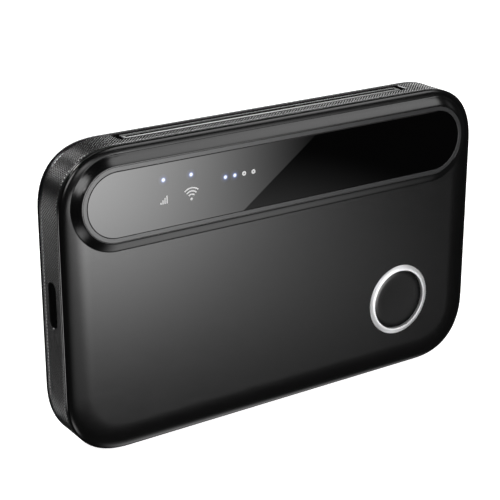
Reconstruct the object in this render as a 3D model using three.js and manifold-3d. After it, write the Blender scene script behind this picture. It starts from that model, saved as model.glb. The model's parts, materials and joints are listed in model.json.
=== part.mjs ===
// A pocket mobile hotspot, standing on its long bottom edge.
// Millimetres: +X is to the right seen from the front, the front faces -Y, +Z is up.
// The origin is on the surface it stands on, under the middle of the object's box.

import * as THREE from 'three';
import { mergeVertices } from 'three/addons/utils/BufferGeometryUtils.js';
import Module from 'manifold-3d';

const wasm = await Module();
wasm.setup();

// ---------------------------------------------------------------- driving dimensions

// Housing, in X and Z. The corners are superellipses, a little squarer than round.
const WIDTH = 100;
const HEIGHT = 62;
const MIDDLE = HEIGHT / 2;
const CORNER_REACH = 13.6;
const CORNER_POWER = 2.41;
const CORNER_STEPS = 9;

// Depths along Y, from the front to the back.
const WINDOW_FACE = -6.7;
const FRONT_FACE = -5.85;
const FRONT_ROLL_START = -4.6;
const FRONT_SEAM = -4.4;
const REAR_SEAM = 3.1;
const REAR_ROLL_START = 3;
const REAR_FACE = 6.7;
const SEAM_GAP = 0.15;

// How far the rolled edges reach in from the outline.
const FRONT_ROLL_WIDTH = 5.5;
const REAR_ROLL_WIDTH = 3.5;
const ROLL_STEPS = 4;

// Wall thicknesses.
const BAND_WALL = 1.5;
const FRONT_WALL = 1.2;
const FRONT_SKIRT = 1.4;
const REAR_WALL = 1.1;

// Window: a lozenge with round ends, set into a raised platform with a sloped edge.
const WINDOW_Z = 51.2;
const WINDOW_STRAIGHT = 77.1;
const WINDOW_RADIUS = 6.42;
const BEZEL_INNER = 6.5;
const BEZEL_OUTER = 7.3;
const POCKET_RADIUS = 7.4;
const PLATFORM_RADIUS = 7.6;
const PLATFORM_SLOPE = 1.7;
const WINDOW_END_STEPS = 8;
const POCKET_FLOOR = -5.4;
const LENS_BACK = -5.8;
const TAPE_WIDTH = 1.2;

// Button and the ring round it.
const BUTTON_X = 30.7;
const BUTTON_Z = 16.2;
const BUTTON_RADIUS = 6.45;
const BUTTON_FLANGE_RADIUS = 7.3;
const BUTTON_BACK = -4.15;
const BUTTON_EDGE = 0.2;
const STEM_RADIUS = 1.2;
const STEM_LENGTH = 0.15;
const RING_OUTER = 7.86;
const RING_INNER = 6.65;
const RING_CREST = -6.15;
const RING_BACK = -5.25;
const RING_EDGE = 0.15;
const ROUND_STEPS = 10;

// Circuit board.
const BOARD_FRONT = -3.0;
const BOARD_BACK = -2.2;
const BOARD_WIDTH = 95;
const BOARD_BOTTOM = 2.2;
const BOARD_TOP = 58.6;
const BOARD_CORNER = 11.5;

// Gap between pieces that rest on each other, and between the board and what is soldered to it.
const REST_GAP = 0.1;
const SOLDER_GAP = 0.05;
const PARTS_FRONT = BOARD_FRONT - SOLDER_GAP;
const PARTS_BACK = BOARD_BACK + SOLDER_GAP;

// Thickness of pressed metal: shielding cans, the card cage and the aerials' springs.
const SHEET_METAL = 0.2;

// Screws and their bosses, one near each corner.
const BOSS_X = 43.2;
const BOSS_INSET_Z = 7.8;
const BOSS_RADIUS = 1.9;
const BOSS_ARM = 2.6;
const BOSS_BACK = 2.5;
const SCREW_HOLE_RADIUS = 0.75;
const SCREW_RADIUS = 0.6;
const SCREW_HEAD_RADIUS = 1.3;
const SCREW_HEAD_HEIGHT = 0.65;
const SCREW_TIP = 0.5;
const SCREW_POINT = 0.4;
const BOARD_HOLE_RADIUS = 0.95;

// Status lights: places of the lit dots on the window.
const STATUS_LIGHT_Z = 54.2;
const SIGNAL_LIGHT_X = -28.3;
const WIFI_LIGHT_X = -22.15;
const CHARGE_LIGHT_Z = 52.3;
const CHARGE_LIGHT_X = -14.35;
const CHARGE_LIGHT_PITCH = 2.18;
const CHARGE_LIGHT_COUNT = 4;
const LIGHT_WIDTH = 0.8;
const LIGHT_HEIGHT = 1.6;
const LIGHT_DEPTH = 0.55;
const LIGHT_HOLE_RADIUS = 0.6;
const BAFFLE_MARGIN = 1.9;
const BAFFLE_CLEARANCE = 0.3;

// Charging socket in the left edge.
const SOCKET_Y = -0.5;
const SOCKET_Z = 31.5;
const SOCKET_MOUTH_X = -48.2;
const SOCKET_BACK_X = -41;
const SOCKET_DEPTH = 3.16;
const SOCKET_LENGTH = 8.94;
const SOCKET_WALL = 0.3;
const SOCKET_CORNER = 1.3;
const SOCKET_TONGUE = { thickness: 0.7, length: 6.69, corner: 0.3, recess: 0.8 };
const SOCKET_SLOT_DEPTH = 2.9;
const SOCKET_SLOT_LENGTH = 9.4;

// Recess on the top edge, with its ribbed strip.
const RECESS_Y = 0.4;
const RECESS_LENGTH = 69.6;
const RECESS_WIDTH = 4.0;
const RECESS_FLOOR = 60.4;
const RECESS_CORNER = 0.8;
const RECESS_ROOF = 59.4;
const GRILLE_LENGTH = 67;
const GRILLE_WIDTH = 3.4;
const GRILLE_BOTTOM = 60.55;
const GRILLE_TOP = 61.8;
const GRILLE_GROOVE = 0.6;
const GRILLE_GROOVE_DEPTH = 0.7;

// Card tray in the right edge.
const TRAY_Z = 40;
const TRAY_DOOR_LENGTH = 13;
const TRAY_DOOR_DEPTH = 2;
const TRAY_DOOR_X = 48.7;
const TRAY_FRONT = -1.65;
const TRAY_BACK = -0.45;
const TRAY_Y = (TRAY_FRONT + TRAY_BACK) / 2;
const TRAY_INNER_X = 33;
const TRAY_WIDTH = 10.4;
const TRAY_SLOT_CLEARANCE = 0.2;
const CARD_LENGTH = 12.3;
const CARD_WIDTH = 8.8;
const CARD_FRONT = -1.18;
const CARD_BACK = -0.51;
const CARD_X = 40.35;
const CARD_CORNER_CUT = 1.65;
const CONTACT_WINDOW = { length: 10, width: 7 };
const NAIL_NOTCH = { depth: 0.5, front: 0.4, length: 4 };

const CAGE_LEFT = 32;
const CAGE_RIGHT = 47.3;
const CAGE_HALF_WIDTH = 5.8;
const CAGE_BACK = -0.1;

// Reset switch behind a pinhole in the right edge, as a block with a plunger in its side.
const RESET_Y = -1.4;
const RESET_Z = 27;
const PINHOLE_RADIUS = 0.6;
const RESET_BODY = { left: 44.4, right: 46.9, front: -2.1, back: -0.7, bottom: 25.5, top: 28.5 };
const RESET_PLUNGER = { left: 46.1, right: 47.5, radius: 0.4 };
const RESET_HOLE = { left: 45.7, radius: 0.55 };

// Push switch under the button.
const SWITCH_WIDTH = 3.4;
const SWITCH_HEIGHT = 0.55;
const SWITCH_HOLE_RADIUS = 0.95;
const SWITCH_HOLE_FLOOR = -3.2;
const PLUNGER_RADIUS = 0.8;
const PLUNGER_FRONT = -3.9;
const PLUNGER_BACK = -3.5;

// Battery: the cell, its small board, the plug and socket, and the adhesive behind it.
const BATTERY_CELL = { left: -28, right: 28, front: 0.3, back: 5.3, bottom: 4.5, top: 46 };
const BATTERY_BOARD = { left: -20, right: 20, front: 1.6, back: 3.4, bottom: 46.3, top: 49.8 };
const BATTERY_SOCKET = { left: -18, right: -12, front: -2.1, back: -0.9, bottom: 52.5, top: 55.5 };
const BATTERY_PLUG = { left: -17.5, right: -12.5, front: -0.8, back: 0.2, bottom: 52.7, top: 55.3 };
const BATTERY_TAPE = { left: -20, right: 20, front: 5.38, back: 5.55, bottom: 12, top: 38 };
const LEAD_RADIUS = 0.4;

// Cans and heat path behind the board.
const SHIELD_BACK = -0.65;
const MODEM_SHIELD = { left: -26, right: 6, bottom: 8, top: 40 };
const WIFI_SHIELD = { left: 9, right: 25, bottom: 22, top: 40 };
const POWER_SHIELD = { left: 9, right: 25, bottom: 6, top: 18 };
const MODEM_CHIP = { left: -22, right: -10, bottom: 22, top: 34, thickness: 0.9 };
const MEMORY_CHIP = { left: -7.5, right: 1.5, bottom: 12, top: 20, thickness: 0.8 };
const WIFI_CHIP = { left: 13.5, right: 20.5, bottom: 27.5, top: 34.5, thickness: 0.8 };
const POWER_CHIP = { left: 11.5, right: 16.5, bottom: 9.5, top: 14.5, thickness: 0.8 };
const INDUCTOR = { x: 21, z: 12, size: 4, corner: 0.8, thickness: 1.1 };
const THERMAL_PAD = { left: -23, right: -9, front: -0.6, back: -0.3, bottom: 21, top: 35 };
const HEAT_SPREADER = { left: -27, right: 27, front: -0.2, back: 0, bottom: 5, top: 44 };

// Aerials on the band's inner walls, each with a spring contact on the board. A contact
// reaches towards its aerial.
const CLIP_FOOT = 2;
const CLIP_RISE = 1.5;
const CLIP_WIDTH = 1.6;
const ANTENNAS = [
  {
    name: 'antenna_bottom',
    plate: { left: -30, right: 30, front: -1.5, back: 2.5, bottom: 1.8, top: 2.1 },
    clip: { x: 25, z: 4.5, towardsX: 0, towardsZ: -1 },
  },
  {
    name: 'antenna_top',
    plate: { left: -25, right: 25, front: -1.2, back: 2.3, bottom: 58.7, top: 59 },
    clip: { x: 10, z: 56.4, towardsX: 0, towardsZ: 1 },
  },
  {
    name: 'antenna_left',
    plate: { left: -48.2, right: -47.9, front: -1.5, back: 2.5, bottom: 38, top: 48 },
    clip: { x: -45.6, z: 43, towardsX: -1, towardsZ: 0 },
  },
  {
    name: 'antenna_right',
    plate: { left: 47.9, right: 48.2, front: -1.5, back: 2.5, bottom: 14, top: 23 },
    clip: { x: 45.6, z: 18, towardsX: 1, towardsZ: 0 },
  },
];

// ---------------------------------------------------------------- finishes

const FINISHES = {
  satinBlack: { color: 0x1b1b1c, roughness: 0.42, metalness: 0 },
  knurledBlack: { color: 0x222323, roughness: 0.55, metalness: 0 },
  satinGrey: { color: 0x3a3a3c, roughness: 0.38, metalness: 0.3 },
  smokedWindow: { color: 0x08080a, roughness: 0.05, metalness: 0 },
  polishedMetal: { color: 0xd9dadc, roughness: 0.12, metalness: 1 },
  steel: { color: 0xa9abae, roughness: 0.3, metalness: 1 },
  gold: { color: 0xc9a24a, roughness: 0.35, metalness: 1 },
  board: { color: 0x14391f, roughness: 0.5, metalness: 0 },
  chip: { color: 0x141416, roughness: 0.5, metalness: 0 },
  whiteLight: { color: 0xf2f6ff, roughness: 0.3, metalness: 0 },
  palePlastic: { color: 0xd8d6cd, roughness: 0.5, metalness: 0 },
  foil: { color: 0xb9bcc0, roughness: 0.35, metalness: 0.8 },
  graphite: { color: 0x2c2d30, roughness: 0.5, metalness: 0.3 },
  rubberGrey: { color: 0x7a8088, roughness: 0.9, metalness: 0 },
  tape: { color: 0x121212, roughness: 0.9, metalness: 0 },
  copper: { color: 0xb8703f, roughness: 0.35, metalness: 1 },
  redWire: { color: 0xa81c1c, roughness: 0.5, metalness: 0 },
  blackWire: { color: 0x141414, roughness: 0.5, metalness: 0 },
};

const object = new THREE.Group();

function addPiece(name, finish, solid) {
  const mesh = new THREE.Mesh(geometryOf(solid), new THREE.MeshStandardMaterial(FINISHES[finish]));
  mesh.name = name;
  object.add(mesh);
}

// ---------------------------------------------------------------- solids and geometries

function solidOf(geometry) {
  const bare = geometry.clone();
  bare.deleteAttribute('normal');
  bare.deleteAttribute('uv');
  const merged = mergeVertices(bare);
  const vertProperties = merged.attributes.position.array;
  const triVerts = merged.index.array;
  return new wasm.Manifold(new wasm.Mesh({ numProp: 3, vertProperties, triVerts }));
}

function geometryOf(solid) {
  const { vertProperties, triVerts } = solid.getMesh();
  const geometry = new THREE.BufferGeometry();
  geometry.setAttribute('position', new THREE.BufferAttribute(vertProperties, 3));
  geometry.setIndex(new THREE.BufferAttribute(triVerts, 1));
  geometry.computeVertexNormals();
  return geometry;
}

function join(first, ...others) {
  return others.reduce((sum, other) => sum.add(other), first);
}

function cut(base, ...tools) {
  return tools.reduce((rest, tool) => rest.subtract(tool), base);
}

// ---------------------------------------------------------------- outlines and prisms

// A rectangle with superellipse corners; power 2 gives round corners, and a reach of half
// the smaller side gives a lozenge or a circle.
function roundedOutline(across, up, length, height, reach, steps = ROUND_STEPS, power = 2) {
  const points = [];
  const quadrants = [[1, 1], [-1, 1], [-1, -1], [1, -1]];
  quadrants.forEach(([sideAcross, sideUp], quadrant) => {
    for (let step = 0; step <= steps; step += 1) {
      const turn = (quadrant + step / steps) * (Math.PI / 2);
      const cornerAcross = reach * Math.abs(Math.cos(turn)) ** (2 / power);
      const cornerUp = reach * Math.abs(Math.sin(turn)) ** (2 / power);
      const point = new THREE.Vector2(
        across + sideAcross * (length / 2 - reach + cornerAcross),
        up + sideUp * (height / 2 - reach + cornerUp),
      );
      const previous = points[points.length - 1];
      if (!previous || previous.distanceTo(point) > 1e-6) points.push(point);
    }
  });
  if (points[0].distanceTo(points[points.length - 1]) < 1e-6) points.pop();
  return new THREE.Shape(points);
}

function circle(across, up, radius, steps = 6) {
  return roundedOutline(across, up, 2 * radius, 2 * radius, radius, steps);
}

function lozenge(straight, radius) {
  return roundedOutline(0, WINDOW_Z, straight + 2 * radius, 2 * radius, radius, WINDOW_END_STEPS);
}

function housingOutline(inset = 0) {
  return roundedOutline(
    0, MIDDLE, WIDTH - 2 * inset, HEIGHT - 2 * inset, CORNER_REACH - inset, CORNER_STEPS, CORNER_POWER,
  );
}

// Where an outline's first axis, its second axis and the prism's depth point.
const PRISM_TURNS = {
  x: new THREE.Matrix4().makeBasis(
    new THREE.Vector3(0, 1, 0), new THREE.Vector3(0, 0, 1), new THREE.Vector3(1, 0, 0),
  ),
  y: new THREE.Matrix4().makeBasis(
    new THREE.Vector3(1, 0, 0), new THREE.Vector3(0, 0, 1), new THREE.Vector3(0, -1, 0),
  ),
  z: new THREE.Matrix4(),
};

// An outline made solid between two places along an axis. With an edge, both ends narrow by
// edge.width over edge.depth, as a slope in one step or as an elliptical roll in more.
function prism(axis, outline, from, to, edge = null) {
  const start = axis === 'y' ? -to : from;
  const inset = edge ? edge.depth : 0;
  const bevel = edge && {
    bevelEnabled: true,
    bevelThickness: edge.depth,
    bevelSize: edge.width,
    bevelOffset: -edge.width,
    bevelSegments: edge.steps,
  };
  const depth = to - from - 2 * inset;
  const geometry = new THREE.ExtrudeGeometry(outline, { depth, steps: 1, bevelEnabled: false, ...bevel });
  geometry.translate(0, 0, start + inset);
  geometry.applyMatrix4(PRISM_TURNS[axis]);
  return solidOf(geometry);
}

function box({ left, right, front, back, bottom, top }) {
  const geometry = new THREE.BoxGeometry(right - left, back - front, top - bottom);
  geometry.translate((left + right) / 2, (front + back) / 2, (bottom + top) / 2);
  return solidOf(geometry);
}

// A turned solid about a line along Y, from [radius, y] points.
function turned(x, z, profile) {
  const points = profile.map(([radius, y]) => new THREE.Vector2(radius, y));
  const geometry = new THREE.LatheGeometry(points, 4 * ROUND_STEPS);
  geometry.translate(x, 0, z);
  return solidOf(geometry);
}

// Everything between two depths, to slice the housing's solids with.
function slice(front, back) {
  return box({ left: -WIDTH, right: WIDTH, front, back, bottom: -HEIGHT, top: 2 * HEIGHT });
}

// ---------------------------------------------------------------- housing

// The whole housing's outer shape from a depth that is well inside it to the rear face.
function rearBlock() {
  const depth = REAR_FACE - REAR_ROLL_START;
  const edge = { width: REAR_ROLL_WIDTH, depth, steps: ROLL_STEPS };
  return prism('y', housingOutline(), FRONT_SEAM - 2 * depth, REAR_FACE, edge);
}

function frontBlock() {
  const depth = FRONT_ROLL_START - FRONT_FACE;
  const edge = { width: FRONT_ROLL_WIDTH, depth, steps: ROLL_STEPS };
  const block = prism('y', housingOutline(), FRONT_FACE, REAR_SEAM, edge);
  return block.intersect(slice(FRONT_FACE - 1, FRONT_SEAM));
}

function lightPlaces() {
  const places = [
    { name: 'led_signal', x: SIGNAL_LIGHT_X, z: STATUS_LIGHT_Z },
    { name: 'led_wifi', x: WIFI_LIGHT_X, z: STATUS_LIGHT_Z },
  ];
  for (let index = 0; index < CHARGE_LIGHT_COUNT; index += 1) {
    const x = CHARGE_LIGHT_X + index * CHARGE_LIGHT_PITCH;
    places.push({ name: `led_battery_${index + 1}`, x, z: CHARGE_LIGHT_Z });
  }
  return places;
}

function frontCover() {
  const slope = { width: PLATFORM_SLOPE, depth: FRONT_FACE - WINDOW_FACE, steps: 1 };
  const foot = lozenge(WINDOW_STRAIGHT, PLATFORM_RADIUS + PLATFORM_SLOPE);
  const platform = prism('y', foot, WINDOW_FACE, FRONT_SEAM, slope)
    .intersect(slice(WINDOW_FACE - 1, FRONT_FACE + 0.5));
  const cavity = prism('y', housingOutline(FRONT_SKIRT), FRONT_FACE + FRONT_WALL, FRONT_SEAM + 1);
  const pocket = prism('y', lozenge(WINDOW_STRAIGHT, POCKET_RADIUS), WINDOW_FACE - 1, POCKET_FLOOR);
  const lightHoles = lightPlaces().map(({ x, z }) => (
    prism('y', circle(x, z, LIGHT_HOLE_RADIUS, 4), POCKET_FLOOR - 1, FRONT_SEAM)
  ));
  const seatOutline = circle(BUTTON_X, BUTTON_Z, RING_OUTER + REST_GAP, ROUND_STEPS);
  const ringSeat = prism('y', seatOutline, WINDOW_FACE, RING_BACK + REST_GAP);
  const holeOutline = circle(BUTTON_X, BUTTON_Z, RING_INNER + REST_GAP, ROUND_STEPS);
  const buttonHole = prism('y', holeOutline, WINDOW_FACE, FRONT_SEAM);
  return cut(join(frontBlock(), platform), cavity, pocket, ringSeat, buttonHole, ...lightHoles);
}

function bossPlaces() {
  const low = BOSS_INSET_Z;
  const high = HEIGHT - BOSS_INSET_Z;
  return [[-BOSS_X, low], [BOSS_X, low], [-BOSS_X, high], [BOSS_X, high]];
}

// A boss with a short arm that runs out at 45 degrees into the corner of the band.
function boss(x, z) {
  const length = 2 * BOSS_RADIUS + BOSS_ARM;
  const outline = roundedOutline(BOSS_ARM / 2, 0, length, 2 * BOSS_RADIUS, BOSS_RADIUS, 4);
  const geometry = new THREE.ExtrudeGeometry(outline, {
    depth: BOSS_BACK - BOARD_BACK - REST_GAP, steps: 1, bevelEnabled: false,
  });
  geometry.rotateZ(Math.atan2(Math.sign(z - MIDDLE), Math.sign(x)));
  geometry.translate(0, 0, -BOSS_BACK);
  geometry.applyMatrix4(PRISM_TURNS.y);
  geometry.translate(x, 0, z);
  return solidOf(geometry);
}

function midFrame() {
  const ring = cut(
    rearBlock().intersect(slice(FRONT_SEAM + SEAM_GAP, REAR_SEAM)),
    prism('y', housingOutline(BAND_WALL), FRONT_SEAM - 1, REAR_SEAM + 1),
  );
  const roof = box({
    left: -RECESS_LENGTH / 2 - BAND_WALL,
    right: RECESS_LENGTH / 2 + BAND_WALL,
    front: FRONT_SEAM + SEAM_GAP,
    back: REAR_SEAM - REST_GAP,
    bottom: RECESS_ROOF,
    top: HEIGHT - BAND_WALL / 2,
  });
  const recessOutline = roundedOutline(0, RECESS_Y, RECESS_LENGTH, RECESS_WIDTH, RECESS_CORNER, 3);
  const recess = prism('z', recessOutline, RECESS_FLOOR, HEIGHT + 1);
  const socketOutline = roundedOutline(
    SOCKET_Y, SOCKET_Z, SOCKET_SLOT_DEPTH, SOCKET_SLOT_LENGTH, SOCKET_SLOT_DEPTH / 2, 5,
  );
  const socketSlot = prism('x', socketOutline, -WIDTH / 2 - 1, SOCKET_MOUTH_X);
  const clearance = 2 * TRAY_SLOT_CLEARANCE;
  const insideRight = WIDTH / 2 - 1.2 * BAND_WALL;
  const traySlot = prism('x', trayDoorOutline(clearance), insideRight, WIDTH / 2 + 1);
  const pinhole = prism('x', circle(RESET_Y, RESET_Z, PINHOLE_RADIUS, 3), insideRight, WIDTH / 2 + 1);
  const screwHoles = bossPlaces().map(([x, z]) => (
    prism('y', circle(x, z, SCREW_HOLE_RADIUS, 3), BOARD_BACK, SCREW_TIP + SCREW_POINT)
  ));
  const bosses = bossPlaces().map(([x, z]) => boss(x, z));
  return cut(join(ring, roof, ...bosses), recess, socketSlot, traySlot, pinhole, ...screwHoles);
}

function rearCover() {
  const depth = REAR_FACE - REAR_WALL - (REAR_SEAM + SEAM_GAP);
  const edge = { width: REAR_ROLL_WIDTH - REAR_WALL, depth, steps: ROLL_STEPS };
  const cavity = prism('y', housingOutline(BAND_WALL), REAR_SEAM - 2 * depth, REAR_FACE - REAR_WALL, edge);
  return cut(rearBlock().intersect(slice(REAR_SEAM + SEAM_GAP, REAR_FACE + 1)), cavity);
}

// A strip with rounded ends and one groove along it, which leaves two ribs.
function topGrille() {
  const outline = roundedOutline(0, RECESS_Y, GRILLE_LENGTH, GRILLE_WIDTH, RECESS_CORNER, 3);
  const strip = prism('z', outline, GRILLE_BOTTOM, GRILLE_TOP);
  const groove = box({
    left: -GRILLE_LENGTH / 2 + RECESS_CORNER,
    right: GRILLE_LENGTH / 2 - RECESS_CORNER,
    front: RECESS_Y - GRILLE_GROOVE / 2,
    back: RECESS_Y + GRILLE_GROOVE / 2,
    bottom: GRILLE_TOP - GRILLE_GROOVE_DEPTH,
    top: GRILLE_TOP + 1,
  });
  return cut(strip, groove);
}

// ---------------------------------------------------------------- window, ring and button

function windowBezel() {
  return cut(
    prism('y', lozenge(WINDOW_STRAIGHT, BEZEL_OUTER), WINDOW_FACE, POCKET_FLOOR - REST_GAP),
    prism('y', lozenge(WINDOW_STRAIGHT, BEZEL_INNER), WINDOW_FACE - 1, POCKET_FLOOR + 1),
  );
}

function windowLens() {
  return prism('y', lozenge(WINDOW_STRAIGHT, WINDOW_RADIUS), WINDOW_FACE, LENS_BACK);
}

function windowTape() {
  const front = LENS_BACK + REST_GAP;
  const back = POCKET_FLOOR - REST_GAP;
  return cut(
    prism('y', lozenge(WINDOW_STRAIGHT, WINDOW_RADIUS), front, back),
    prism('y', lozenge(WINDOW_STRAIGHT, WINDOW_RADIUS - TAPE_WIDTH), front - 1, back + 1),
  );
}

function buttonRing() {
  return turned(BUTTON_X, BUTTON_Z, [
    [RING_INNER, RING_BACK],
    [RING_INNER, RING_CREST + RING_EDGE],
    [RING_INNER + RING_EDGE, RING_CREST],
    [RING_INNER + 3 * RING_EDGE, RING_CREST],
    [RING_OUTER, FRONT_FACE],
    [RING_OUTER, RING_BACK],
    [RING_INNER, RING_BACK],
  ]);
}

function powerButton() {
  const flangeFront = FRONT_FACE + FRONT_WALL + SEAM_GAP;
  return turned(BUTTON_X, BUTTON_Z, [
    [0, FRONT_FACE],
    [BUTTON_RADIUS - BUTTON_EDGE, FRONT_FACE],
    [BUTTON_RADIUS, FRONT_FACE + BUTTON_EDGE],
    [BUTTON_RADIUS, flangeFront],
    [BUTTON_FLANGE_RADIUS, flangeFront],
    [BUTTON_FLANGE_RADIUS, BUTTON_BACK],
    [STEM_RADIUS, BUTTON_BACK],
    [STEM_RADIUS, BUTTON_BACK + STEM_LENGTH],
    [0, BUTTON_BACK + STEM_LENGTH],
  ]);
}

// ---------------------------------------------------------------- board and what is on it

function mainBoard() {
  const height = BOARD_TOP - BOARD_BOTTOM;
  const outline = roundedOutline(
    0, BOARD_BOTTOM + height / 2, BOARD_WIDTH, height, BOARD_CORNER, 5, CORNER_POWER,
  );
  const holes = bossPlaces().map(([x, z]) => (
    prism('y', circle(x, z, BOARD_HOLE_RADIUS, 3), BOARD_FRONT - 1, BOARD_BACK + 1)
  ));
  return cut(prism('y', outline, BOARD_FRONT, BOARD_BACK), ...holes);
}

function screw([x, z]) {
  const headBack = BOARD_FRONT - REST_GAP;
  return turned(x, z, [
    [0, headBack - SCREW_HEAD_HEIGHT],
    [SCREW_HEAD_RADIUS, headBack - SCREW_HEAD_HEIGHT],
    [SCREW_HEAD_RADIUS, headBack],
    [SCREW_RADIUS, headBack],
    [SCREW_RADIUS, SCREW_TIP - SCREW_POINT],
    [0, SCREW_TIP],
  ]);
}

// Each push switch's body is a block with a blind hole that its plunger slides in.
function powerSwitch() {
  const half = SWITCH_WIDTH / 2;
  const body = box({
    left: BUTTON_X - half,
    right: BUTTON_X + half,
    front: PARTS_FRONT - SWITCH_HEIGHT,
    back: PARTS_FRONT,
    bottom: BUTTON_Z - half,
    top: BUTTON_Z + half,
  });
  const hole = prism('y', circle(BUTTON_X, BUTTON_Z, SWITCH_HOLE_RADIUS, 4), FRONT_SEAM, SWITCH_HOLE_FLOOR);
  return cut(body, hole);
}

function powerSwitchPlunger() {
  return prism('y', circle(BUTTON_X, BUTTON_Z, PLUNGER_RADIUS, 4), PLUNGER_FRONT, PLUNGER_BACK);
}

function resetSwitch() {
  const hole = prism('x', circle(RESET_Y, RESET_Z, RESET_HOLE.radius, 4), RESET_HOLE.left, WIDTH / 2);
  return cut(box(RESET_BODY), hole);
}

function resetPlunger() {
  const { left, right, radius } = RESET_PLUNGER;
  return prism('x', circle(RESET_Y, RESET_Z, radius, 4), left, right);
}

function light({ x, z }) {
  return box({
    left: x - LIGHT_WIDTH / 2,
    right: x + LIGHT_WIDTH / 2,
    front: PARTS_FRONT - LIGHT_DEPTH,
    back: PARTS_FRONT,
    bottom: z - LIGHT_HEIGHT / 2,
    top: z + LIGHT_HEIGHT / 2,
  });
}

// A black block with one channel for each light, so no light reaches its neighbour's dot.
function lightBaffle() {
  const front = FRONT_FACE + FRONT_WALL + REST_GAP;
  const back = BOARD_FRONT - REST_GAP;
  const block = box({
    left: SIGNAL_LIGHT_X - BAFFLE_MARGIN,
    right: CHARGE_LIGHT_X + (CHARGE_LIGHT_COUNT - 1) * CHARGE_LIGHT_PITCH + BAFFLE_MARGIN,
    front,
    back,
    bottom: CHARGE_LIGHT_Z - BAFFLE_MARGIN,
    top: STATUS_LIGHT_Z + BAFFLE_MARGIN,
  });
  const halfWidth = LIGHT_WIDTH / 2 + BAFFLE_CLEARANCE;
  const halfHeight = LIGHT_HEIGHT / 2 + BAFFLE_CLEARANCE;
  const channels = lightPlaces().map(({ x, z }) => box({
    left: x - halfWidth,
    right: x + halfWidth,
    front: front - 1,
    back: back + 1,
    bottom: z - halfHeight,
    top: z + halfHeight,
  }));
  return cut(block, ...channels);
}

function socketShell() {
  const outer = roundedOutline(SOCKET_Y, SOCKET_Z, SOCKET_DEPTH, SOCKET_LENGTH, SOCKET_CORNER, 4);
  const inner = roundedOutline(
    SOCKET_Y, SOCKET_Z, SOCKET_DEPTH - 2 * SOCKET_WALL, SOCKET_LENGTH - 2 * SOCKET_WALL,
    SOCKET_CORNER - SOCKET_WALL, 4,
  );
  return cut(
    prism('x', outer, SOCKET_MOUTH_X, SOCKET_BACK_X),
    prism('x', inner, SOCKET_MOUTH_X - 1, SOCKET_BACK_X - 2 * SOCKET_WALL),
  );
}

function socketTongue() {
  const { thickness, length, corner, recess } = SOCKET_TONGUE;
  const outline = roundedOutline(SOCKET_Y, SOCKET_Z, thickness, length, corner, 2);
  return prism('x', outline, SOCKET_MOUTH_X + recess, SOCKET_BACK_X - 2 * SOCKET_WALL - REST_GAP);
}

// A pressed can, open towards the board.
function shield({ left, right, bottom, top }) {
  const can = box({ left, right, front: PARTS_BACK, back: SHIELD_BACK, bottom, top });
  const hollow = box({
    left: left + SHEET_METAL,
    right: right - SHEET_METAL,
    front: PARTS_BACK - 1,
    back: SHIELD_BACK - SHEET_METAL,
    bottom: bottom + SHEET_METAL,
    top: top - SHEET_METAL,
  });
  return cut(can, hollow);
}

function chip({ left, right, bottom, top, thickness }) {
  return box({ left, right, front: PARTS_BACK, back: PARTS_BACK + thickness, bottom, top });
}

function inductor() {
  const { x, z, size, corner, thickness } = INDUCTOR;
  return prism('y', roundedOutline(x, z, size, size, corner, 3), PARTS_BACK, PARTS_BACK + thickness);
}

// A bent spring that stands on the board and touches an aerial, in profile an L.
function antennaClip({ x, z, towardsX, towardsZ }) {
  const foot = BOARD_BACK + REST_GAP;
  const profile = new THREE.Shape([
    new THREE.Vector2(0, foot),
    new THREE.Vector2(CLIP_FOOT, foot),
    new THREE.Vector2(CLIP_FOOT, foot + CLIP_RISE),
    new THREE.Vector2(CLIP_FOOT - SHEET_METAL, foot + CLIP_RISE),
    new THREE.Vector2(CLIP_FOOT - SHEET_METAL, foot + SHEET_METAL),
    new THREE.Vector2(0, foot + SHEET_METAL),
  ]);
  const geometry = new THREE.ExtrudeGeometry(profile, { depth: CLIP_WIDTH, steps: 1, bevelEnabled: false });
  geometry.translate(0, 0, -CLIP_WIDTH / 2);
  geometry.rotateY(Math.atan2(-towardsZ, towardsX));
  geometry.translate(x, 0, z);
  return solidOf(geometry);
}

// ---------------------------------------------------------------- card holder

function trayDoorOutline(clearance) {
  const depth = TRAY_DOOR_DEPTH + clearance;
  return roundedOutline(TRAY_Y, TRAY_Z, depth, TRAY_DOOR_LENGTH + clearance, depth / 2 - 0.2, 4);
}

function simTray() {
  const carrier = box({
    left: TRAY_INNER_X,
    right: TRAY_DOOR_X + 0.3,
    front: TRAY_FRONT,
    back: TRAY_BACK,
    bottom: TRAY_Z - TRAY_WIDTH / 2,
    top: TRAY_Z + TRAY_WIDTH / 2,
  });
  const door = prism('x', trayDoorOutline(0), TRAY_DOOR_X, WIDTH / 2 - 0.05);
  const pocket = box({
    left: CARD_X - CARD_LENGTH / 2 - REST_GAP,
    right: CARD_X + CARD_LENGTH / 2 + REST_GAP,
    front: CARD_FRONT - SOLDER_GAP,
    back: TRAY_BACK + 1,
    bottom: TRAY_Z - CARD_WIDTH / 2 - REST_GAP,
    top: TRAY_Z + CARD_WIDTH / 2 + REST_GAP,
  });
  const contactWindow = box({
    left: CARD_X - CONTACT_WINDOW.length / 2,
    right: CARD_X + CONTACT_WINDOW.length / 2,
    front: TRAY_FRONT - 1,
    back: TRAY_BACK,
    bottom: TRAY_Z - CONTACT_WINDOW.width / 2,
    top: TRAY_Z + CONTACT_WINDOW.width / 2,
  });
  const nailNotch = box({
    left: WIDTH / 2 - NAIL_NOTCH.depth,
    right: WIDTH / 2 + 1,
    front: TRAY_Y + NAIL_NOTCH.front,
    back: TRAY_Y + TRAY_DOOR_DEPTH,
    bottom: TRAY_Z - NAIL_NOTCH.length / 2,
    top: TRAY_Z + NAIL_NOTCH.length / 2,
  });
  return cut(join(carrier, door), pocket, contactWindow, nailNotch);
}

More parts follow.
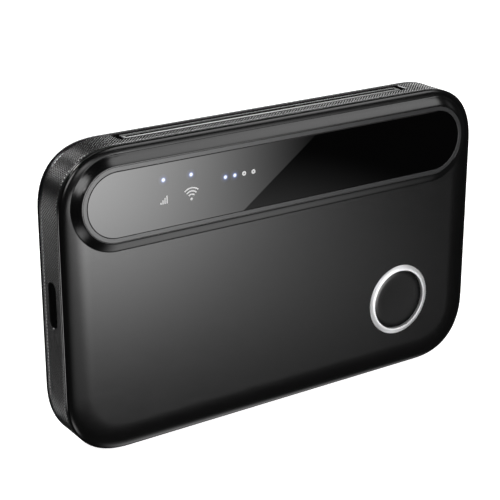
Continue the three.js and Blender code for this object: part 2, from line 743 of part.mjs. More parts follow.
// A card with one cut corner, so that it goes in only one way.
function simCard() {
  const halfLength = CARD_LENGTH / 2;
  const halfWidth = CARD_WIDTH / 2;
  const outline = new THREE.Shape([
    new THREE.Vector2(CARD_X - halfLength, TRAY_Z - halfWidth),
    new THREE.Vector2(CARD_X + halfLength, TRAY_Z - halfWidth),
    new THREE.Vector2(CARD_X + halfLength, TRAY_Z + halfWidth - CARD_CORNER_CUT),
    new THREE.Vector2(CARD_X + halfLength - CARD_CORNER_CUT, TRAY_Z + halfWidth),
    new THREE.Vector2(CARD_X - halfLength, TRAY_Z + halfWidth),
  ]);
  return prism('y', outline, CARD_FRONT, CARD_BACK);
}

function simBase() {
  const halfWidth = CAGE_HALF_WIDTH - 2 * SHEET_METAL;
  return box({
    left: CAGE_LEFT,
    right: CAGE_RIGHT,
    front: PARTS_BACK,
    back: TRAY_FRONT - 1.5 * REST_GAP,
    bottom: TRAY_Z - halfWidth,
    top: TRAY_Z + halfWidth,
  });
}

// A folded sheet round three sides of the tray, open at both ends.
function simCage() {
  const outside = box({
    left: CAGE_LEFT,
    right: CAGE_RIGHT,
    front: PARTS_BACK,
    back: CAGE_BACK,
    bottom: TRAY_Z - CAGE_HALF_WIDTH,
    top: TRAY_Z + CAGE_HALF_WIDTH,
  });
  const inside = box({
    left: CAGE_LEFT - 1,
    right: CAGE_RIGHT + 1,
    front: PARTS_BACK - 1,
    back: CAGE_BACK - SHEET_METAL,
    bottom: TRAY_Z - CAGE_HALF_WIDTH + SHEET_METAL,
    top: TRAY_Z + CAGE_HALF_WIDTH - SHEET_METAL,
  });
  return cut(outside, inside);
}

// ---------------------------------------------------------------- battery

function batteryCell() {
  const { left, right, front, back, bottom, top } = BATTERY_CELL;
  const middleY = (front + back) / 2;
  const middleZ = (bottom + top) / 2;
  const outline = roundedOutline(middleY, middleZ, back - front, top - bottom, 0.8, 3);
  return prism('x', outline, left, right);
}

// A lead from the battery's small board up and forward to the plug, bending inwards.
function batteryLead(side) {
  const plugX = (BATTERY_PLUG.left + BATTERY_PLUG.right) / 2;
  const plugZ = (BATTERY_PLUG.bottom + BATTERY_PLUG.top) / 2;
  const startY = (BATTERY_BOARD.front + BATTERY_BOARD.back) / 2;
  const startZ = BATTERY_BOARD.top + REST_GAP;
  const path = new THREE.CatmullRomCurve3([
    new THREE.Vector3(plugX + 2 * side, startY, startZ),
    new THREE.Vector3(plugX + 2 * side, startY, startZ + 2),
    new THREE.Vector3(plugX + 1.5 * side, startY - 0.4, plugZ - 0.6),
    new THREE.Vector3(plugX + side, startY - 1.3, plugZ),
    new THREE.Vector3(plugX + side, BATTERY_PLUG.back + REST_GAP, plugZ),
  ]);
  const section = circle(0, 0, LEAD_RADIUS, 2);
  return solidOf(new THREE.ExtrudeGeometry(section, { steps: 12, extrudePath: path }));
}

// ---------------------------------------------------------------- assembly

addPiece('front_cover', 'satinBlack', frontCover());
addPiece('mid_frame', 'knurledBlack', midFrame());
addPiece('rear_cover', 'satinBlack', rearCover());
addPiece('top_grille', 'satinBlack', topGrille());
addPiece('window_bezel', 'satinGrey', windowBezel());
addPiece('window_lens', 'smokedWindow', windowLens());
addPiece('window_tape', 'tape', windowTape());
addPiece('button_ring', 'polishedMetal', buttonRing());
addPiece('power_button', 'satinBlack', powerButton());

addPiece('main_board', 'board', mainBoard());
addPiece('power_switch', 'chip', powerSwitch());
addPiece('power_switch_plunger', 'palePlastic', powerSwitchPlunger());
addPiece('reset_switch', 'chip', resetSwitch());
addPiece('reset_plunger', 'palePlastic', resetPlunger());
addPiece('light_baffle', 'tape', lightBaffle());
lightPlaces().forEach((place) => addPiece(place.name, 'whiteLight', light(place)));
bossPlaces().forEach((place, index) => addPiece(`screw_${index + 1}`, 'steel', screw(place)));

addPiece('usb_shell', 'steel', socketShell());
addPiece('usb_tongue', 'chip', socketTongue());
addPiece('modem_shield', 'steel', shield(MODEM_SHIELD));
addPiece('modem_chip', 'chip', chip(MODEM_CHIP));
addPiece('memory_chip', 'chip', chip(MEMORY_CHIP));
addPiece('wifi_shield', 'steel', shield(WIFI_SHIELD));
addPiece('wifi_chip', 'chip', chip(WIFI_CHIP));
addPiece('power_shield', 'steel', shield(POWER_SHIELD));
addPiece('power_chip', 'chip', chip(POWER_CHIP));
addPiece('power_inductor', 'graphite', inductor());
addPiece('thermal_pad', 'rubberGrey', box(THERMAL_PAD));
addPiece('heat_spreader', 'graphite', box(HEAT_SPREADER));

addPiece('sim_base', 'chip', simBase());
addPiece('sim_cage', 'steel', simCage());
addPiece('sim_tray', 'knurledBlack', simTray());
addPiece('sim_card', 'palePlastic', simCard());

addPiece('battery_cell', 'foil', batteryCell());
addPiece('battery_board', 'board', box(BATTERY_BOARD));
addPiece('battery_socket', 'palePlastic', box(BATTERY_SOCKET));
addPiece('battery_plug', 'palePlastic', box(BATTERY_PLUG));
addPiece('battery_lead_positive', 'redWire', batteryLead(-1));
addPiece('battery_lead_negative', 'blackWire', batteryLead(1));
addPiece('battery_tape', 'tape', box(BATTERY_TAPE));

ANTENNAS.forEach(({ name, plate, clip }, index) => {
  addPiece(name, 'copper', box(plate));
  addPiece(`antenna_clip_${index + 1}`, 'gold', antennaClip(clip));
});

export default object;
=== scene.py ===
"""A pocket mobile hotspot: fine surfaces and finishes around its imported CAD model.

The shapes are written in millimetres and turned into metres when a mesh is made. The front faces
-Y, +X is to the right seen from the front and +Z is up. An outline is a list of (x, z) points, a
loop is a list of vertices on a closed curve, and a depth is a place along Y.
"""

import json
import math
from collections import namedtuple

import bmesh
import bpy
from mathutils import Matrix, Vector
from mathutils.geometry import delaunay_2d_cdt

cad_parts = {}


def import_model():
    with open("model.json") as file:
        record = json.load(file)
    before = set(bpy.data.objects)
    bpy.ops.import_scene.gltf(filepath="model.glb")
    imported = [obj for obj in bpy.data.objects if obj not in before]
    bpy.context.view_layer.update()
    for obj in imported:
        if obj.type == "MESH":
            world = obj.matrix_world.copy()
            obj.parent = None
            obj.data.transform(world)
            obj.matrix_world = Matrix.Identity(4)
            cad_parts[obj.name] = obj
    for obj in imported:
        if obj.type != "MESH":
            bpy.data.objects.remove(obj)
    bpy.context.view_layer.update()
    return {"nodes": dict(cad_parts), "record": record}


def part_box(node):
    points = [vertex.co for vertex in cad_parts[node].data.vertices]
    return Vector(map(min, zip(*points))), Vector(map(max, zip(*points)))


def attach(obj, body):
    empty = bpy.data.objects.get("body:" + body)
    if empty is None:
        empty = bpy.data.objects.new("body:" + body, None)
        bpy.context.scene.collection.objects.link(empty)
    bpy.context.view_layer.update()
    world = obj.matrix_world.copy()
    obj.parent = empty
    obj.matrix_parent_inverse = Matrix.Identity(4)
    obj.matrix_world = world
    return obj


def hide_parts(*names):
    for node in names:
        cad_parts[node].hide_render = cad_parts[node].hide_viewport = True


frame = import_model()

MM = 0.001


def cad_box(node):
    """A CAD node's lowest and highest corners, in millimetres."""
    low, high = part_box(node)
    return low / MM, high / MM


def middle(box):
    """The middle of a box given as its lowest and highest corners."""
    return (box[0] + box[1]) / 2


# ---------------- sizes, in millimetres

COVER_LOW, COVER_HIGH = cad_box("front_cover")
BAND_LOW, BAND_HIGH = cad_box("mid_frame")
REAR_LOW, REAR_HIGH = cad_box("rear_cover")
LENS_LOW, LENS_HIGH = cad_box("window_lens")
BEZEL_LOW, BEZEL_HIGH = cad_box("window_bezel")
RING_LOW, RING_HIGH = cad_box("button_ring")
BUTTON_LOW, BUTTON_HIGH = cad_box("power_button")
GRILLE_LOW, GRILLE_HIGH = cad_box("top_grille")
SOCKET_LOW, SOCKET_HIGH = cad_box("usb_shell")
TONGUE_LOW, TONGUE_HIGH = cad_box("usb_tongue")
TRAY_LOW, TRAY_HIGH = cad_box("sim_tray")
PIN_LOW, PIN_HIGH = cad_box("reset_plunger")

HALF_WIDTH = COVER_HIGH.x
MIDDLE = COVER_HIGH.z / 2
CORNER_REACH = 13.6
CORNER_POWER = 2.41
CORNER_X = HALF_WIDTH - CORNER_REACH
CORNER_Z = MIDDLE - CORNER_REACH

WINDOW_FACE = COVER_LOW.y
FRONT_FACE = BUTTON_LOW.y
FRONT_SEAM = COVER_HIGH.y
REAR_FACE = REAR_HIGH.y

FRONT_ROLL_WIDTH = 5.5
FRONT_ROLL_START = -4.6
REAR_ROLL_WIDTH = 3.5
REAR_ROLL_START = 3.0
FRONT_WALL = 1.2
FRONT_SKIRT = 1.4
SEAM_BEVEL = 0.08
BAND_WALL = 1.5
REAR_WALL = 1.1

WINDOW_Z = middle((LENS_LOW, LENS_HIGH)).z
LENS_RADIUS = (LENS_HIGH.z - LENS_LOW.z) / 2
WINDOW_HALF_STRAIGHT = LENS_HIGH.x - LENS_RADIUS
BEZEL_OUTER = (BEZEL_HIGH.z - BEZEL_LOW.z) / 2
BEZEL_INNER = LENS_RADIUS + 0.08
POCKET_RADIUS = BEZEL_OUTER + 0.1
POCKET_FLOOR = BEZEL_HIGH.y + 0.1
POCKET_RIM = 0.03
PLATFORM_RADIUS = 7.6
PLATFORM_FOOT = 9.3

BUTTON_CENTER = middle((RING_LOW, RING_HIGH)).xz
BUTTON_RADIUS = 6.45
RING_OUTER = (RING_HIGH.x - RING_LOW.x) / 2
RING_INNER = 6.65
SEAT_RADIUS = RING_OUTER + 0.1

LIGHT_NODES = ["led_signal", "led_wifi"] + [f"led_battery_{index}" for index in range(1, 5)]
LIGHT_HOLE_RADIUS = 0.6

RECESS_HALF_LENGTH = 34.8
RECESS_WIDTH = 4.0
RECESS_CORNER = 0.8
RECESS_Y = middle((GRILLE_LOW, GRILLE_HIGH)).y
RECESS_FLOOR = GRILLE_LOW.z - 0.15
GROOVE = 0.6
RIB_HEIGHT = 0.7

SOCKET_CENTER = middle((SOCKET_LOW, SOCKET_HIGH)).yz
SLOT_DEPTH = 2.9
SLOT_LENGTH = 9.4

CARD_LOW, CARD_HIGH = cad_box("sim_card")
TRAY_Y, TRAY_Z = middle((TRAY_LOW, TRAY_HIGH)).yz
TRAY_DOOR_INNER = 48.7
TRAY_DOOR_CORNER = 0.8
TRAY_SIDE_GAP = 0.2
CARRIER_FRONT = -1.65
CARRIER_BACK = -0.45
CARRIER_WIDTH = 10.4
NOTCH_LENGTH = 4
NOTCH_DEPTH = 0.5
PINHOLE_RADIUS = 0.6

SCREW_NODES = [f"screw_{index}" for index in range(1, 5)]
BOSS_RADIUS = 1.9
BOSS_ARM = 2.6
BOSS_FRONT = cad_box("main_board")[1].y + 0.1
BOSS_BACK = 2.5
SCREW_HOLE_RADIUS = 0.75


# ---------------- outlines

def spaced(start, end, count):
    """Evenly spaced numbers from start up to, but without, end."""
    return [start + (end - start) * index / count for index in range(count)]


def rounded_outline(center, size, reach, steps=12, power=2.0, straight_step=None):
    """A rectangle with superellipse corners, as (across, up) points."""
    corners = []
    for quadrant, (side_across, side_up) in enumerate([(1, 1), (-1, 1), (-1, -1), (1, -1)]):
        for step in range(steps + 1):
            turn = (quadrant + step / steps) * math.pi / 2
            corner = Vector((
                side_across * (size[0] / 2 - reach + reach * abs(math.cos(turn)) ** (2 / power)),
                side_up * (size[1] / 2 - reach + reach * abs(math.sin(turn)) ** (2 / power)),
            ))
            corners.append(Vector(center) + corner)
    points = []
    for index, point in enumerate(corners):
        gap = (corners[(index + 1) % len(corners)] - point).length
        if gap < 1e-6:
            continue
        pieces = max(1, round(gap / straight_step)) if straight_step else 1
        following = corners[(index + 1) % len(corners)]
        points += [point.lerp(following, piece / pieces) for piece in range(pieces)]
    return points


def housing_outline(inset=0.0, steps=22):
    size = (2 * (HALF_WIDTH - inset), 2 * (MIDDLE - inset))
    reach = CORNER_REACH - inset
    return rounded_outline((0, MIDDLE), size, reach, steps, CORNER_POWER, straight_step=3)


def lozenge(radius, steps=20):
    size = (2 * (WINDOW_HALF_STRAIGHT + radius), 2 * radius)
    return rounded_outline((0, WINDOW_Z), size, radius, steps, straight_step=3)


def circle(center, radius, steps=16):
    return rounded_outline(center, (2 * radius, 2 * radius), radius, steps)


# ---------------- depths of the front cover

def inset_at(across, up):
    """How far a place on the front is inside the housing's outline."""
    past_x = abs(across) - CORNER_X
    past_z = abs(up - MIDDLE) - CORNER_Z
    if past_x <= 0 or past_z <= 0:
        return CORNER_REACH - max(past_x, past_z)
    return CORNER_REACH - (past_x ** CORNER_POWER + past_z ** CORNER_POWER) ** (1 / CORNER_POWER)


def roll_depth(inset, flat, start, width):
    """Depth on a quarter-elliptical roll that leaves the flat at the given width."""
    share = min(1.0, max(0.0, (width - inset) / width))
    return flat + (start - flat) * (1 - math.sqrt(1 - share * share))


def soft_ramp(value, softness):
    """0 below 0 and 1 above 1, straight between, with rounded bends."""
    def bend(distance):
        if distance <= -softness:
            return 0.0
        if distance >= softness:
            return distance
        return (distance + softness) ** 2 / (4 * softness)
    return bend(value) - bend(value - 1)


def platform_share(across, up):
    """1 on the raised platform round the window, 0 past the foot of its slope."""
    past_end = max(0.0, abs(across) - WINDOW_HALF_STRAIGHT)
    radius = math.hypot(past_end, up - WINDOW_Z)
    return soft_ramp((PLATFORM_FOOT - radius) / (PLATFORM_FOOT - PLATFORM_RADIUS), 0.07)


def cover_depth(across, up):
    base = roll_depth(inset_at(across, up), FRONT_FACE, FRONT_ROLL_START, FRONT_ROLL_WIDTH)
    share = platform_share(across, up)
    return base + (WINDOW_FACE - base) * share


# ---------------- building meshes

class Builder:
    """Collects a piece's vertices and faces, in millimetres."""

    def __init__(self):
        self.vertices = []
        self.faces = []

    def loop(self, outline, depth, plane="y"):
        """Puts an outline's points at a depth along an axis and returns their indices."""
        first = len(self.vertices)
        for across, up in outline:
            place = depth(across, up) if callable(depth) else depth
            point = {"x": (place, across, up), "y": (across, place, up), "z": (across, up, place)}[plane]
            self.vertices.append(point)
        return list(range(first, len(self.vertices)))

    def bridge(self, first, second):
        count = len(first)
        for index in range(count):
            following = (index + 1) % count
            self.faces.append((first[index], first[following], second[following], second[index]))

    def loft(self, loops):
        for first, second in zip(loops, loops[1:]):
            self.bridge(first, second)

    def cap(self, loop):
        self.faces.append(tuple(loop))

    def solid(self, loops):
        """Lofts between the loops and closes both ends."""
        self.loft(loops)
        self.cap(loops[0])
        self.cap(loops[-1])

    def rings(self, center, profile, steps=32):
        """Round loops about a line along Y, from a profile of (radius, depth) points."""
        return [self.loop(circle(center, radius, steps), depth) for radius, depth in profile]

    def sheet(self, outlines, guides, depth):
        """Fills the first outline, less the others, with triangles at a depth that varies."""
        points = []
        edges = []
        for outline in outlines + guides:
            first = len(points)
            points += [Vector(point) for point in outline]
            count = len(outline)
            edges += [(first + index, first + (index + 1) % count) for index in range(count)]
        vertices, _, triangles, *_ = delaunay_2d_cdt(points, edges, [], 0, 1e-5)
        first = len(self.vertices)
        for point in vertices:
            place = depth(point.x, point.y) if callable(depth) else depth
            self.vertices.append((point.x, place, point.y))
        for triangle in triangles:
            center = sum((vertices[index] for index in triangle), Vector((0, 0))) / len(triangle)
            in_hole = any(contains(hole, center) for hole in outlines[1:])
            if contains(outlines[0], center) and not in_hole:
                self.faces.append(tuple(first + index for index in triangle))

    def finish(self, name, sharp_angle=35):
        mesh = bpy.data.meshes.new(name)
        mesh.from_pydata([Vector(point) * MM for point in self.vertices], [], self.faces)
        work = bmesh.new()
        work.from_mesh(mesh)
        bmesh.ops.remove_doubles(work, verts=work.verts, dist=0.0005 * MM)
        bmesh.ops.dissolve_degenerate(work, edges=work.edges, dist=0.0002 * MM)
        loose = [vertex for vertex in work.verts if not vertex.link_faces]
        bmesh.ops.delete(work, geom=loose, context="VERTS")
        bmesh.ops.recalc_face_normals(work, faces=work.faces)
        work.to_mesh(mesh)
        work.free()
        smooth(mesh, sharp_angle)
        piece = bpy.data.objects.new(name, mesh)
        bpy.context.scene.collection.objects.link(piece)
        return piece


def contains(outline, point):
    """Whether a point is inside a closed outline."""
    inside = False
    for index, corner in enumerate(outline):
        following = outline[(index + 1) % len(outline)]
        if (corner[1] > point[1]) != (following[1] > point[1]):
            share = (point[1] - corner[1]) / (following[1] - corner[1])
            if point[0] < corner[0] + share * (following[0] - corner[0]):
                inside = not inside
    return inside


def smooth(mesh, sharp_angle):
    mesh.shade_smooth()
    mesh.set_sharp_from_angle(angle=math.radians(sharp_angle))


def cut_or_join(piece, tool, operation):
    """Joins a tool to a piece or cuts it away, and removes the tool."""
    modifier = piece.modifiers.new("boolean", "BOOLEAN")
    modifier.operation = operation
    modifier.solver = "EXACT"
    modifier.object = tool
    apply_modifiers(piece)
    bpy.data.objects.remove(tool)


def apply_modifiers(piece):
    graph = bpy.context.evaluated_depsgraph_get()
    mesh = bpy.data.meshes.new_from_object(piece.evaluated_get(graph))
    piece.modifiers.clear()
    piece.data = mesh
    mesh.name = piece.name


def bevel(piece, width, segments=2, angle=35):
    modifier = piece.modifiers.new("bevel", "BEVEL")
    modifier.width = width * MM
    modifier.segments = segments
    modifier.limit_method = "ANGLE"
    modifier.angle_limit = math.radians(angle)
    modifier.use_clamp_overlap = True
    apply_modifiers(piece)
    smooth(piece.data, angle)


def prism(name, outline, start, end, plane="y"):
    """A closed prism between two places along an axis."""
    build = Builder()
    build.solid([build.loop(outline, place, plane) for place in (start, end)])
    return build.finish(name)


# ---------------- front cover

def front_cover():
    build = Builder()
    turns = spaced(0, 90, 18)
    insets = [FRONT_ROLL_WIDTH * (1 - math.sin(math.radians(90 - turn))) for turn in turns]
    edge = housing_outline(0)
    pocket = lozenge(POCKET_RADIUS)
    seat = circle(BUTTON_CENTER, SEAT_RADIUS)
    button_hole = circle(BUTTON_CENTER, RING_INNER + 0.1)
    lights = [circle(light_center(node), LIGHT_HOLE_RADIUS, 5) for node in LIGHT_NODES]
    slope = PLATFORM_FOOT - PLATFORM_RADIUS
    slope_places = [-0.4, -0.12, -0.07, -0.03, 0, 0.03, 0.07, 0.3, 0.5, 0.7, 0.93, 0.97, 1, 1.03, 1.07]
    guides = [housing_outline(inset) for inset in insets[1:]]
    guides += [housing_outline(FRONT_ROLL_WIDTH), housing_outline(FRONT_ROLL_WIDTH + 0.3)]
    guides += [lozenge(PLATFORM_FOOT - share * slope) for share in slope_places]
    guides += [circle(BUTTON_CENTER, SEAT_RADIUS + 0.3)]
    rim = lozenge(POCKET_RADIUS + POCKET_RIM)
    build.sheet([edge, rim, seat], guides, cover_depth)

    cavity = FRONT_FACE + FRONT_WALL
    skirt = [
        build.loop(edge, FRONT_ROLL_START),
        build.loop(edge, FRONT_SEAM - SEAM_BEVEL),
        build.loop(housing_outline(SEAM_BEVEL), FRONT_SEAM),
        build.loop(housing_outline(FRONT_SKIRT), FRONT_SEAM),
        build.loop(housing_outline(FRONT_SKIRT), cavity),
    ]
    build.loft(skirt)
    build.sheet([housing_outline(FRONT_SKIRT), button_hole] + lights, [], cavity)
    build.loft([
        build.loop(rim, WINDOW_FACE),
        build.loop(pocket, WINDOW_FACE + POCKET_RIM),
        build.loop(pocket, POCKET_FLOOR),
    ])
    build.sheet([pocket] + lights, [], POCKET_FLOOR)
    for light in lights:
        build.loft([build.loop(light, POCKET_FLOOR), build.loop(light, cavity)])
    seat_floor = RING_HIGH.y + 0.1
    build.loft([
        build.loop(seat, FRONT_FACE),
        build.loop(seat, seat_floor),
        build.loop(button_hole, seat_floor),
        build.loop(button_hole, cavity),
    ])
    return build.finish("front_cover_shell")


# ---------------- knurled band

KNURL_PITCH = 0.72
KNURL_HEIGHT = 0.077
KNURL_SHARP_ANGLE = 6  # degrees, small enough to keep the knurl's facets crisp
KNURL_FRONT = -3.62
KNURL_BACK = 2.6
GROOVE_WIDTH = 0.16
GROOVE_DEPTH = 0.12
CHAMFER = 0.15


def outline_length(outline):
    return sum((point - outline[index - 1]).length for index, point in enumerate(outline))


def even_loop(inset, count):
    """The housing outline as evenly spaced points, the first at the middle of the bottom."""
    fine = housing_outline(inset, steps=90)
    start = min(range(len(fine)), key=lambda index: (fine[index] - Vector((0, 0))).length)
    fine = fine[start:] + fine[:start + 1]
    lengths = [0.0]
    for first, second in zip(fine, fine[1:]):
        lengths.append(lengths[-1] + (second - first).length)
    points = []
    place = 0
    for index in range(count):
        target = lengths[-1] * index / count
        while lengths[place + 1] < target:
            place += 1
        share = (target - lengths[place]) / (lengths[place + 1] - lengths[place])
        points.append(fine[place].lerp(fine[place + 1], share))
    return points


def band_inset(depth):
    """How far the rear roll has drawn the band in at a depth."""
    if depth <= REAR_ROLL_START:
        return 0.0
    share = (REAR_FACE - depth) / (REAR_FACE - REAR_ROLL_START)
    return REAR_ROLL_WIDTH * (1 - math.sqrt(1 - (1 - share) ** 2))


def knurled_ring():
    """The band as a closed ring: smooth lips, grooves, and rows of diamond pyramids between."""
    perimeter = outline_length(housing_outline(0))
    perimeter_count = 2 * round(perimeter / KNURL_PITCH)
    outer = even_loop(0, perimeter_count)
    inner = even_loop(BAND_WALL, perimeter_count)
    inward = [(second - first).normalized() for first, second in zip(outer, inner)]
    rows = 2 * round((KNURL_BACK - KNURL_FRONT) / KNURL_PITCH)
    build = Builder()

    def ring(depth, sunk):
        """A loop at a depth, sunk below the outline by a length or by the knurl's pattern."""
        points = []
        for index, (point, direction) in enumerate(zip(outer, inward)):
            sink = sunk(index) if callable(sunk) else sunk
            points.append(point + direction * (sink + band_inset(depth)))
        return build.loop(points, depth)

    front_lip = [
        (BAND_LOW.y, BAND_WALL), (BAND_LOW.y, 0.18), (BAND_LOW.y + 0.05, 0.07), (BAND_LOW.y + 0.16, 0),
        (KNURL_FRONT - GROOVE_WIDTH - 0.04, 0), (KNURL_FRONT - GROOVE_WIDTH, 0.03),
        (KNURL_FRONT - GROOVE_WIDTH / 2, GROOVE_DEPTH),
    ]
    loops = [ring(depth, sunk) for depth, sunk in front_lip]
    for row in range(rows + 1):
        depth = KNURL_FRONT + (KNURL_BACK - KNURL_FRONT) * row / rows
        flat_row = row in (0, rows)
        loops.append(ring(depth, lambda index: (
            KNURL_HEIGHT * (0.5 if flat_row else (index + row) % 2)
        )))
    rear_lip = [
        (KNURL_BACK + GROOVE_WIDTH / 2, GROOVE_DEPTH), (KNURL_BACK + GROOVE_WIDTH, 0.03),
        (KNURL_BACK + GROOVE_WIDTH + 0.04, 0), (BAND_HIGH.y - 0.1, 0), (BAND_HIGH.y, 0.08),
        (BAND_HIGH.y, BAND_WALL),
    ]
    loops += [ring(depth, sunk) for depth, sunk in rear_lip]
    first_row = len(front_lip)
    for place, (first, second) in enumerate(zip(loops, loops[1:])):
        row = place - first_row
        knurled = 0 <= row < rows
        for index in range(perimeter_count):
            following = (index + 1) % perimeter_count
            near, far = first[index], second[index]
            near_next, far_next = first[following], second[following]
            if not knurled:
                build.faces.append((near, near_next, far_next, far))
            elif (index + row) % 2:
                build.faces += [(near, near_next, far_next), (near, far_next, far)]
            else:
                build.faces += [(near, near_next, far), (near_next, far_next, far)]
    build.bridge(loops[-1], loops[0])
    return build.finish("mid_frame_band", KNURL_SHARP_ANGLE)


def slot_outline(low, high, corner, grow=0.0, steps=10):
    """A rounded slot in Y and Z, between two corners, as (y, z) points."""
    center = ((low[0] + high[0]) / 2, (low[1] + high[1]) / 2)
    size = (high[0] - low[0] + 2 * grow, high[1] - low[1] + 2 * grow)
    return rounded_outline(center, size, corner + grow, steps)


def box_tool(name, low, high):
    outline = [(low[0], low[1]), (high[0], low[1]), (high[0], high[1]), (low[0], high[1])]
    return prism(name, outline, low[2], high[2], "z")


def boss(name, center):
    """A screw boss whose arm runs out at 45 degrees into the corner of the band."""
    size = (2 * BOSS_RADIUS + BOSS_ARM, 2 * BOSS_RADIUS)
    outline = rounded_outline((BOSS_ARM / 2, 0), size, BOSS_RADIUS, 10)
    turn = math.atan2(math.copysign(1, center.y - MIDDLE), math.copysign(1, center.x))
    placed = [center + Matrix.Rotation(turn, 2) @ point for point in outline]
    return prism(name, placed, BOSS_FRONT, BOSS_BACK)


def mid_frame():
    """The knurled band with its recess, slots and screw bosses."""
    band = knurled_ring()
    roof_low = (-RECESS_HALF_LENGTH - BAND_WALL, BAND_LOW.y + 0.02, RECESS_FLOOR - 1)
    roof_high = (RECESS_HALF_LENGTH + BAND_WALL, BAND_HIGH.y - 0.1, COVER_HIGH.z - BAND_WALL / 2)
    cut_or_join(band, box_tool("roof", roof_low, roof_high), "UNION")
    for node in SCREW_NODES:
        box = cad_box(node)
        center = middle(box).xz
        cut_or_join(band, boss("boss", center), "UNION")
        hole = prism("hole", circle(center, SCREW_HOLE_RADIUS, 6), BOSS_FRONT - 1, box[1].y + 0.3)
        cut_or_join(band, hole, "DIFFERENCE")

    top = COVER_HIGH.z + 0.5
    size = (2 * RECESS_HALF_LENGTH, RECESS_WIDTH)
    recess = rounded_outline((0, RECESS_Y), size, RECESS_CORNER, 8)
    wider_size = (size[0] + 2 * CHAMFER, size[1] + 2 * CHAMFER)
    wider = rounded_outline((0, RECESS_Y), wider_size, RECESS_CORNER + CHAMFER, 8)
    tool = flared("recess", recess, wider, RECESS_FLOOR, COVER_HIGH.z - CHAMFER, top, "z")
    cut_or_join(band, tool, "DIFFERENCE")

    slot_reach = Vector((SLOT_DEPTH, SLOT_LENGTH)) / 2
    slot = [SOCKET_CENTER - slot_reach, SOCKET_CENTER + slot_reach]
    side_cut(band, "socket_slot", slot, SLOT_DEPTH / 2, -1, SOCKET_LOW.x + 0.01)
    inner_x = HALF_WIDTH - BAND_WALL - 0.3
    gap = Vector((TRAY_SIDE_GAP, TRAY_SIDE_GAP))
    door = [TRAY_LOW.yz - gap, TRAY_HIGH.yz + gap]
    side_cut(band, "tray_slot", door, TRAY_DOOR_CORNER + TRAY_SIDE_GAP, 1, inner_x)
    pin = middle((PIN_LOW, PIN_HIGH)).yz
    reach = Vector((PINHOLE_RADIUS, PINHOLE_RADIUS))
    hole = [pin - reach, pin + reach]
    side_cut(band, "pinhole", hole, PINHOLE_RADIUS, 1, inner_x)
    smooth(band.data, KNURL_SHARP_ANGLE)
    return band


def flared(name, outline, wider, start, flare, end, plane):
    """A cutter that widens from a flare to its end, which leaves a chamfered mouth."""
    build = Builder()
    build.solid([
        build.loop(outline, start, plane),
        build.loop(outline, flare, plane),
        build.loop(wider, flare + CHAMFER * math.copysign(1, end - start), plane),
        build.loop(wider, end, plane),
    ])
    return build.finish(name)


def side_cut(band, name, corners, corner, side, inner_x):
    """Cuts a rounded slot through the left (-1) or right (1) wall of the band."""
    outline = slot_outline(corners[0], corners[1], corner)
    wider = slot_outline(corners[0], corners[1], corner, grow=CHAMFER)
    edge = side * (HALF_WIDTH - 0.2)
    tool = flared(name, outline, wider, inner_x, edge, side * (HALF_WIDTH + 0.5), "x")
    cut_or_join(band, tool, "DIFFERENCE")


def top_grille():
    """A strip with rounded ends and a groove along it, which leaves two ribs."""
    size = (GRILLE_HIGH - GRILLE_LOW).xy
    outline = rounded_outline((0, RECESS_Y), size, RECESS_CORNER, 8)
    strip = prism("top_grille_strip", outline, GRILLE_LOW.z, GRILLE_HIGH.z, "z")
    half = GRILLE_HIGH.x - RECESS_CORNER
    low = (-half, RECESS_Y - GROOVE / 2, GRILLE_HIGH.z - RIB_HEIGHT)
    high = (half, RECESS_Y + GROOVE / 2, GRILLE_HIGH.z + 1)
    cut_or_join(strip, box_tool("groove", low, high), "DIFFERENCE")
    bevel(strip, 0.14, segments=3, angle=50)
    return strip


# ---------------- rear cover

def rear_cover():
    build = Builder()
    inner_flat = REAR_FACE - REAR_WALL
    depths = [REAR_LOW.y + 0.06]
    turns = spaced(0, 90, 18)
    roll = REAR_FACE - REAR_ROLL_START
    depths += [REAR_ROLL_START + roll * math.sin(math.radians(turn)) for turn in turns]
    depths = sorted(depth for depth in depths if depth > REAR_LOW.y + 0.05)
    loops = [
        build.loop(housing_outline(FRONT_SKIRT + 0.1), REAR_LOW.y),
        build.loop(housing_outline(band_inset(REAR_LOW.y) + 0.06), REAR_LOW.y),
    ]
    loops += [build.loop(housing_outline(band_inset(depth)), depth) for depth in depths]
    loops += [
        build.loop(housing_outline(REAR_ROLL_WIDTH), REAR_FACE),
        build.loop(housing_outline(REAR_ROLL_WIDTH + 0.3), REAR_FACE),
    ]
    build.loft(loops)
    build.cap(loops[-1])
    inner_roll = inner_flat - REAR_LOW.y
    inner_width = REAR_ROLL_WIDTH - REAR_WALL
    inside = [loops[0]]
    for turn in spaced(10, 90, 8) + [90]:
        share = math.sin(math.radians(turn))
        inset = FRONT_SKIRT + 0.1 + inner_width * (1 - math.cos(math.radians(turn)))
        inside.append(build.loop(housing_outline(inset), REAR_LOW.y + inner_roll * share))
    build.loft(inside)
    build.cap(inside[-1])
    return build.finish("rear_cover_shell")


# ---------------- window, ring and button

def swept_lozenge(name, profile):
    """A closed profile of (radius, depth) points taken round the window."""
    build = Builder()
    loops = [build.loop(lozenge(radius), depth) for radius, depth in profile]
    build.loft(loops + [loops[0]])
    return build.finish(name)


def window_bezel():
    round_edge = 0.04
    outer = BEZEL_OUTER + 0.07
    return swept_lozenge("window_bezel_ring", [
        (BEZEL_INNER, BEZEL_HIGH.y),
        (BEZEL_INNER, WINDOW_FACE + round_edge),
        (BEZEL_INNER + round_edge / 3, WINDOW_FACE + round_edge / 3),
        (BEZEL_INNER + round_edge, WINDOW_FACE),
        (BEZEL_INNER + 2 * round_edge, WINDOW_FACE),
        (outer - 2 * round_edge, WINDOW_FACE),
        (outer - round_edge, WINDOW_FACE),
        (outer - round_edge / 3, WINDOW_FACE + round_edge / 3),
        (outer, WINDOW_FACE + round_edge),
        (outer, BEZEL_HIGH.y),
    ])


